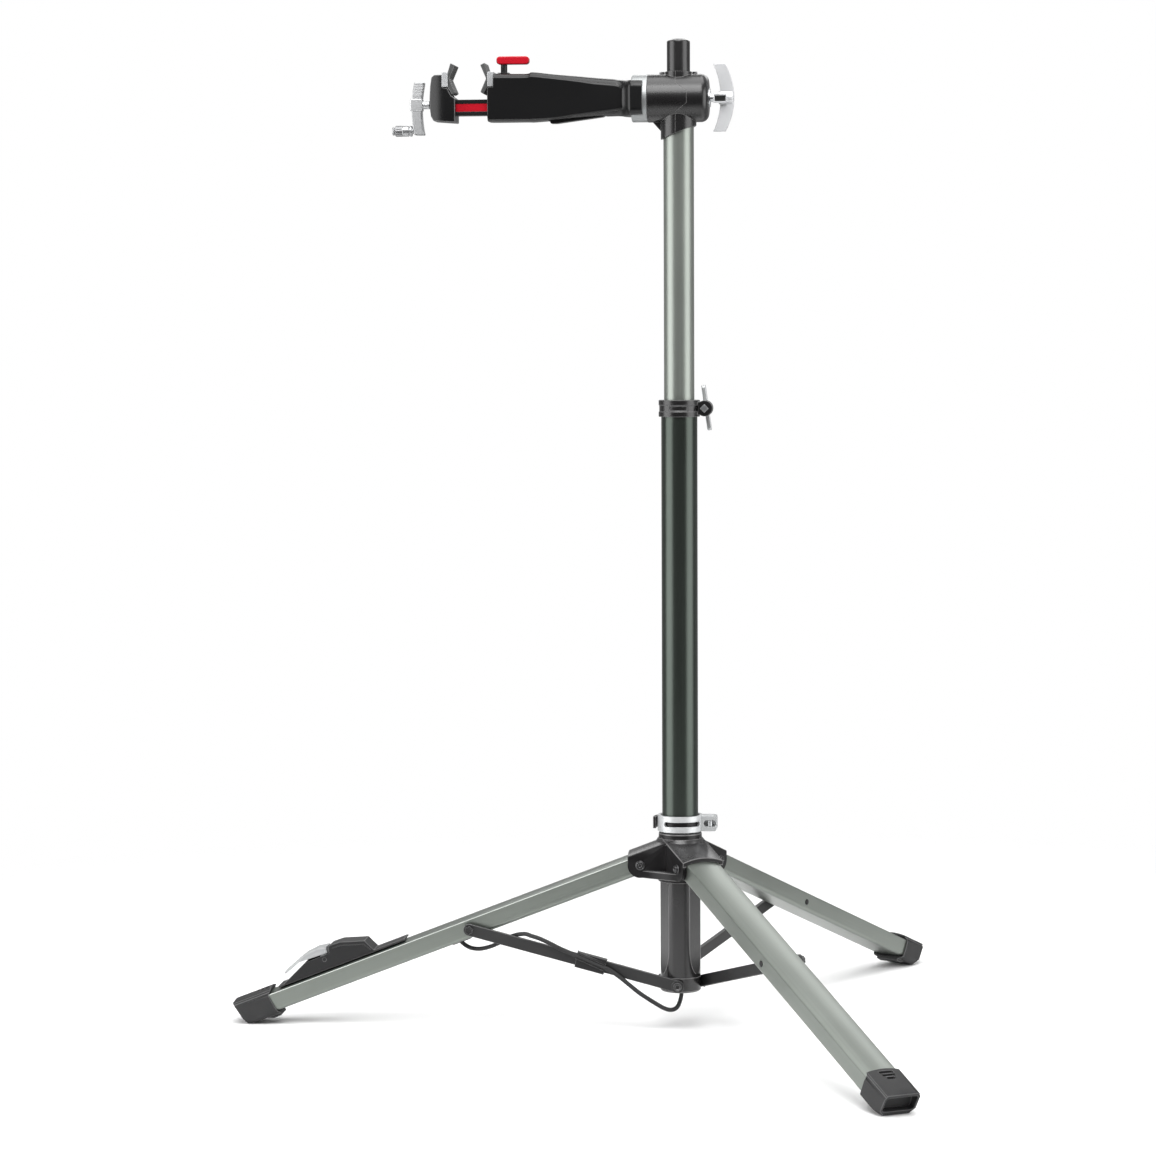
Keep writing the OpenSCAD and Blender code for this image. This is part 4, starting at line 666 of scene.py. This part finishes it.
def mouldJaw():
    j = jawPiece
    left, right, seat, top, mid, bottom = j["left"], j["right"], j["seat"], j["top"], j["mid"], j["bottom"]
    back = [(left + 7.5, top), (left + 3.4, top - 3.2), (left + 1.5, mid + 16), (left + 0.5, mid),
            (left + 0.9, mid - 14), (left + 2.4, bottom + 9), (left + 6.5, bottom + 2.2)]
    front = [(right, bottom), (right, j["step"]), (right - 5.5, j["step"] + 4), (right - 10.5, j["ledge"]),
             (seat, j["ledge"] + 1.8), (seat, top)]
    work = bmesh.new()
    pulled(work, back + front, -j["half"], j["half"])
    for k in range(1, j["bulgeSteps"]):
        cut = (left + j["bulgeLong"] * k / j["bulgeSteps"]) * mm
        everything = list(work.verts) + list(work.edges) + list(work.faces)
        bmesh.ops.bisect_plane(work, geom=everything, dist=j["nearCut"], plane_co=(cut, 0, 0), plane_no=(1, 0, 0))
    for vert in work.verts:
        t = max(0.0, 1 - (vert.co.x / mm - left) / j["bulgeLong"])
        vert.co.y *= 1 - j["bulge"] * t ** 2
    # the jaw's rounded edges are painted paler, painted highlight
    addPiece("moving_jaw_moulded", work, onMast, "moving_jaw", "moulded_gloss", 1.2, replaced="moving_jaw",
             edge="plasticEdgeHighlight")


mouldJaw()


# clamp arm: two moulded halves, a smooth skin through rounded sections with a raised panel on each side
# sections are distance from the mast, middle height, half width, half height and corner radius

armPiece = {
    "body": [(-259.5, 1293.5, 24.5, 31.8, 8), (-258, 1293.5, 25.5, 32.8, 9), (-209.5, 1293.1, 25.5, 32.4, 9),
             (-199.5, 1294.1, 25.5, 33.6, 10), (-169.5, 1293.5, 25, 31, 12), (-139.5, 1293.5, 24, 28.5, 15),
             (-109.5, 1293, 22.5, 26.3, 17), (-89.8, 1292.5, 21.5, 25.4, 18), (-82.8, 1292, 21.4, 24.8, 19),
             (-77.3, 1291.6, 22, 24.7, 18), (-73.8, 1291.2, 23.8, 24.7, 16), (-70.6, 1291, 27, 24.6, 14),
             (-67.8, 1291, 31.2, 24.4, 12), (-65.2, 1291, 33.8, 24.2, 11), (-61, 1291, 34.7, 23.8, 10),
             (-47.8, 1291, 34.9, 23.4, 10)],
    "panel": [(-258.5, 1291.8, 26.5, 29.2, 2), (-257.5, 1291.8, 27.1, 29.5, 2), (-209.5, 1291.6, 27.1, 29.3, 2),
              (-199.5, 1292.4, 27.1, 29.9, 2), (-167.5, 1291.5, 26.5, 27.6, 2.5), (-139.5, 1291.9, 25.6, 24.2, 3),
              (-115, 1291.6, 24.5, 21.6, 4), (-98, 1291.8, 23.9, 19.8, 4), (-89, 1292, 23.6, 18.8, 4),
              (-82, 1291.8, 23.4, 17.8, 4), (-78, 1291.6, 22.9, 16.4, 5), (-75.2, 1291.4, 22.1, 14.2, 6),
              (-73.6, 1291.2, 21.2, 11.6, 6), (-72.6, 1291.2, 20.2, 9, 5)],
    "bodyCorner": 8, "panelCorner": 4, "between": 4, "seam": 0.1, "shortEdge": 2.5, "far": 400.0,
    "blocks": {"rail": ((-300, -98, 1268.9, 1291.9), 10.6), "lock": ((-238, -220, 1264.5, 1307.5), 17)},
    "bores": {"stem": (5.05, (-241, 0, 1330), 100, "Z"), "shaft": (12.6, (100, 0, 1291), 384.2, "X"),
              "barrel": (32.6, (100, 0, 1291), 327.8, "X")},
    "seats": {"pad": ([(-264.5, 1307.3), (-253.5, 1307.3), (-253.5, 1324.5), (-248.5, 1329.3), (-264.5, 1329.3)], 60),
              "base": ([(-249.1, 1324.8), (-232.9, 1324.8), (-232.9, 1400), (-249.1, 1400)], 9.1),
              "strip": ([(-179.5, 1264.8), (-179.5, 1250.7), (-99.5, 1250.7), (-99.5, 1268.9)], 9)},
    "away": (1000, 1600)}

def lofted(work, rows, corner):
    rings = []
    for x, mid, wide, high, radius in rows:
        ring = []
        for k in range(4 * (corner + 1)):
            quarter = k // (corner + 1)
            turn = math.pi / 2 * (quarter + (k % (corner + 1)) / corner)
            sideY = 1 if quarter in (0, 3) else -1
            sideZ = 1 if quarter < 2 else -1
            ring.append(work.verts.new((x * mm, (sideY * (wide - radius) + radius * math.cos(turn)) * mm,
                                        (mid + sideZ * (high - radius) + radius * math.sin(turn)) * mm)))
        rings.append(ring)
    for near, far in zip(rings, rings[1:]):
        for k in range(len(near)):
            work.faces.new((near[k - 1], near[k], far[k], far[k - 1]))
    work.faces.new(rings[0])
    work.faces.new(rings[-1])


def rod(work, radius, place, length, axis):
    turn = Matrix.Rotation(math.pi / 2, 4, "Y") if axis == "X" else Matrix()
    bmesh.ops.create_cone(work, cap_ends=True, segments=72, radius1=radius * mm, radius2=radius * mm,
                          depth=length * mm, matrix=Matrix.Translation([v * mm for v in place]) @ turn)


def carved(solid, cutter):
    things = []
    for work in (solid, cutter):
        bmesh.ops.recalc_face_normals(work, faces=work.faces)
        mesh = bpy.data.meshes.new("carving")
        work.to_mesh(mesh)
        work.free()
        things.append(bpy.data.objects.new("carving", mesh))
        scene.collection.objects.link(things[-1])
    cut = things[0].modifiers.new("cut", "BOOLEAN")
    cut.object = things[1]
    cut.operation = "DIFFERENCE"
    cut.solver = "EXACT"
    cut.use_self = True
    left = bpy.data.meshes.new_from_object(things[0].evaluated_get(bpy.context.evaluated_depsgraph_get()))
    work = bmesh.new()
    work.from_mesh(left)
    for mesh in [left] + [thing.data for thing in things]:
        bpy.data.meshes.remove(mesh)
    return work


def armHollows(side):
    a = armPiece
    far = a["far"]
    work = bmesh.new()
    pulled(work, rectangle(-far, far, *a["away"]), *sorted((-side * a["seam"] / 2, -side * far)))
    for outline, half in a["blocks"].values():
        pulled(work, rectangle(*outline), -half, half)
    for bore in a["bores"].values():
        rod(work, *bore)
    for outline, half in a["seats"].values():
        pulled(work, outline, -half, half)
    return work


def mouldArm():
    a = armPiece
    for node, side in (("arm_front_shell", -1), ("arm_rear_shell", 1)):
        work = bmesh.new()
        for skin in ("body", "panel"):
            rows = smoothRoute([Vector(row) for row in a[skin]], a["between"])
            lofted(work, rows, a[skin + "Corner"])
        work = carved(work, armHollows(side))
        bmesh.ops.remove_doubles(work, verts=work.verts, dist=carvedWeld)
        weighEdges(work, a["shortEdge"])
        # the shells' rounded edges are painted paler, painted highlight along the panel's ridge
        addPiece(node + "_moulded", work, onMast, node, "moulded_gloss", 0.35, replaced=node, edge="plasticEdgeHighlight",
                 angle=0)


mouldArm()


# leg hub: faces that look up get a paler paint, painted light from the lamps above; slider bush: slimmer, so that its
# facets stay clear of the tube's

roofTilt = 0.3
bushSlim = 0.992

def roofedHub(node):
    mesh = ownMesh(node)
    for face in mesh.polygons:
        face.material_index = 2 if face.normal.z > roofTilt else 0
    return mesh


def slimBush(node):
    mesh = ownMesh(node)
    slim = Matrix.Diagonal((bushSlim, bushSlim, 1, 1))
    mesh.transform(onMast @ slim @ onMast.inverted())
    return mesh


# feet, in the leg's own frame: three slots in the top with floors painted near-black as painted shade, a wide opening
# in the toe, lower corners cut at the floor

footPiece = {"slots": [(559.8, 564.9, 10.0), (566.9, 571.4, 7.8), (573.6, 578.6, 5.4)], "slotFloor": 17.3,
             "slotRim": 20.6, "slotTop": 40, "spare": 0.1, "opening": (3.0, 22.5, 11.5, 4.0), "openFrom": 596.0,
             "openTo": 640.0, "openCorner": 4, "half": 27.3, "cut": 9.0, "cutAt": 600, "cutLong": 200}

def footHollows(i):
    f = footPiece
    work = bmesh.new()
    for low, high, half in f["slots"]:
        pulled(work, rectangle(low, high, f["slotFloor"], f["slotTop"]), -half, half)
    lofted(work, [(f["openFrom"], *f["opening"]), (f["openTo"], *f["opening"])], f["openCorner"])
    bmesh.ops.transform(work, matrix=onLeg(i), verts=work.verts)
    wide = f["cut"] * math.sqrt(2) * mm
    for side in (-1, 1):
        spot = Matrix.Translation((f["cutAt"] * mm, side * f["half"] * mm, 0))
        shape = Matrix.Rotation(math.pi / 4, 4, "X") @ Matrix.Diagonal((f["cutLong"] * mm, wide, wide, 1))
        bmesh.ops.create_cube(work, size=1, matrix=onMast @ Matrix.Rotation(legTurns[i], 4, "Z") @ spot @ shape)
    return work


def mouldFoot(node):
    f = footPiece
    i = int(node[-1]) - 1
    mesh = ownMesh(node)
    work = bmesh.new()
    work.from_mesh(mesh)
    work = carved(work, footHollows(i))
    bmesh.ops.remove_doubles(work, verts=work.verts, dist=carvedWeld)
    bmesh.ops.dissolve_limit(work, angle_limit=flatTurn, verts=work.verts, edges=work.edges)
    back = onLeg(i).inverted()
    spare = f["spare"]
    for face in work.faces:
        spot = back @ face.calc_center_median() / mm
        sunk = f["slotFloor"] - spare < spot.z < f["slotRim"] and any(
            low - spare < spot.x < high + spare and abs(spot.y) < half + spare for low, high, half in f["slots"])
        # slot floors take the near-black paint, painted shade
        face.material_index = 2 if sunk else 0
    work.to_mesh(mesh)
    work.free()
    return mesh


ownShape = {"wing_handle": sunkWing, "slider_bush": slimBush, "leg_hub": roofedHub, "foot_1": mouldFoot,
            "foot_2": mouldFoot, "foot_3": mouldFoot}
for node, width in edgeWidths.items():
    softEdged(node, width, ownShape.get(node, ownMesh)(node))
for node, thing in frame["nodes"].items():
    thing.data.materials.clear()
    thing.data.materials.append(finishFor(node))
print("nodes dressed:", len(edgeWidths))


# release cable, from the leg's grommet over the front strut to the valve

cable = {"thick": 6.0, "steps": 5, "sides": 4, "bend": [(-284, 0, 120), (-236, 0, 120)],
         "route": [
    (-312, 0, 122), (-305, 0, 114), (-294, -3, 109), (-280, -8, 109), (-264, -14, 114), (-250, -18, 121),
    (-238, -21, 128), (-228, -24, 132), (-221, -29, 134), (-213, -34, 135), (-205, -38, 133), (-194, -40, 130),
    (-180, -41, 124), (-166, -41, 117), (-152, -41, 111), (-138, -40.5, 105), (-124, -40.5, 99),
    (-110, -40.5, 93), (-96, -40.5, 87), (-82, -39, 77), (-68, -36, 65), (-54, -32, 53), (-40, -28, 43),
    (-30, -24, 36), (-22, -21, 31), (-15, -17, 28), (-9, -14, 28), (-4, -11, 31), (-1, -8, 37), (1, -6, 45),
    (2, -4, 54), (3, -1, 62), (3, 0, 70), (3, 0, 78)]}

def layCable():
    points, bend = [[Vector((x * mm + mastX, y * mm, z * mm)) for x, y, z in cable[key]] for key in ("route", "bend")]
    line = smoothRoute(points, cable["steps"])
    curve = bpy.data.curves.new("release_cable_line", "CURVE")
    curve.dimensions = "3D"
    curve.bevel_depth = cable["thick"] / 2 * mm
    curve.bevel_resolution = cable["sides"]
    curve.use_fill_caps = True
    spline = curve.splines.new("POLY")
    spline.points.add(len(line) - 1)
    for point, spot in zip(spline.points, line):
        point.co = (*spot, 1)
    spline.use_smooth = True
    former = bpy.data.objects.new("cable_line", curve)
    scene.collection.objects.link(former)
    mesh = bpy.data.meshes.new_from_object(former.evaluated_get(bpy.context.evaluated_depsgraph_get()))
    bpy.data.curves.remove(curve)
    for face in mesh.polygons:
        face.use_smooth = True
    piece = bpy.data.objects.new("cable_housing", mesh)
    scene.collection.objects.link(piece)
    mesh.materials.clear()
    mesh.materials.append(finishes["rubber"])
    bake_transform(piece)
    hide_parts("release_cable")
    length = sum((b - a).length for a, b in zip(line, line[1:]))
    print("cable laid: %.3f m" % length)


layCable()


# floor: pale, keeps the shadow, fades out before its rim

floorPiece = {"radius": 2.4, "sides": 96, "drop": 0.0004, "fade": (0.75, 2.0)}

def layFloor():
    f = floorPiece
    work = bmesh.new()
    bmesh.ops.create_circle(work, cap_ends=True, segments=f["sides"], radius=f["radius"])
    mesh = bpy.data.meshes.new("floor")
    work.to_mesh(mesh)
    work.free()
    mesh.transform(Matrix.Translation((mastX, 0, -f["drop"])))
    floor = bpy.data.objects.new("floor", mesh)
    scene.collection.objects.link(floor)
    paint = Paint("paleFloor", Base_Color=(0.93, 0.93, 0.93, 1), Roughness=0.6, Specular_IOR_Level=0.2)
    spot = paint.place(shift=(-mastX, 0, 0))
    reach = paint.add("ShaderNodeVectorMath", {"operation": "LENGTH"}, outlet="Value", Vector=spot)
    fade = paint.add("ShaderNodeMapRange", {"interpolation_type": "SMOOTHSTEP"}, outlet="Result", Value=reach,
                     From_Min=f["fade"][0], From_Max=f["fade"][1], To_Min=1.0, To_Max=0.0)
    paint.feed("Alpha", fade)
    mesh.materials.append(paint.material)


layFloor()
placeCamera()
lightStudio()
print("scene ready")
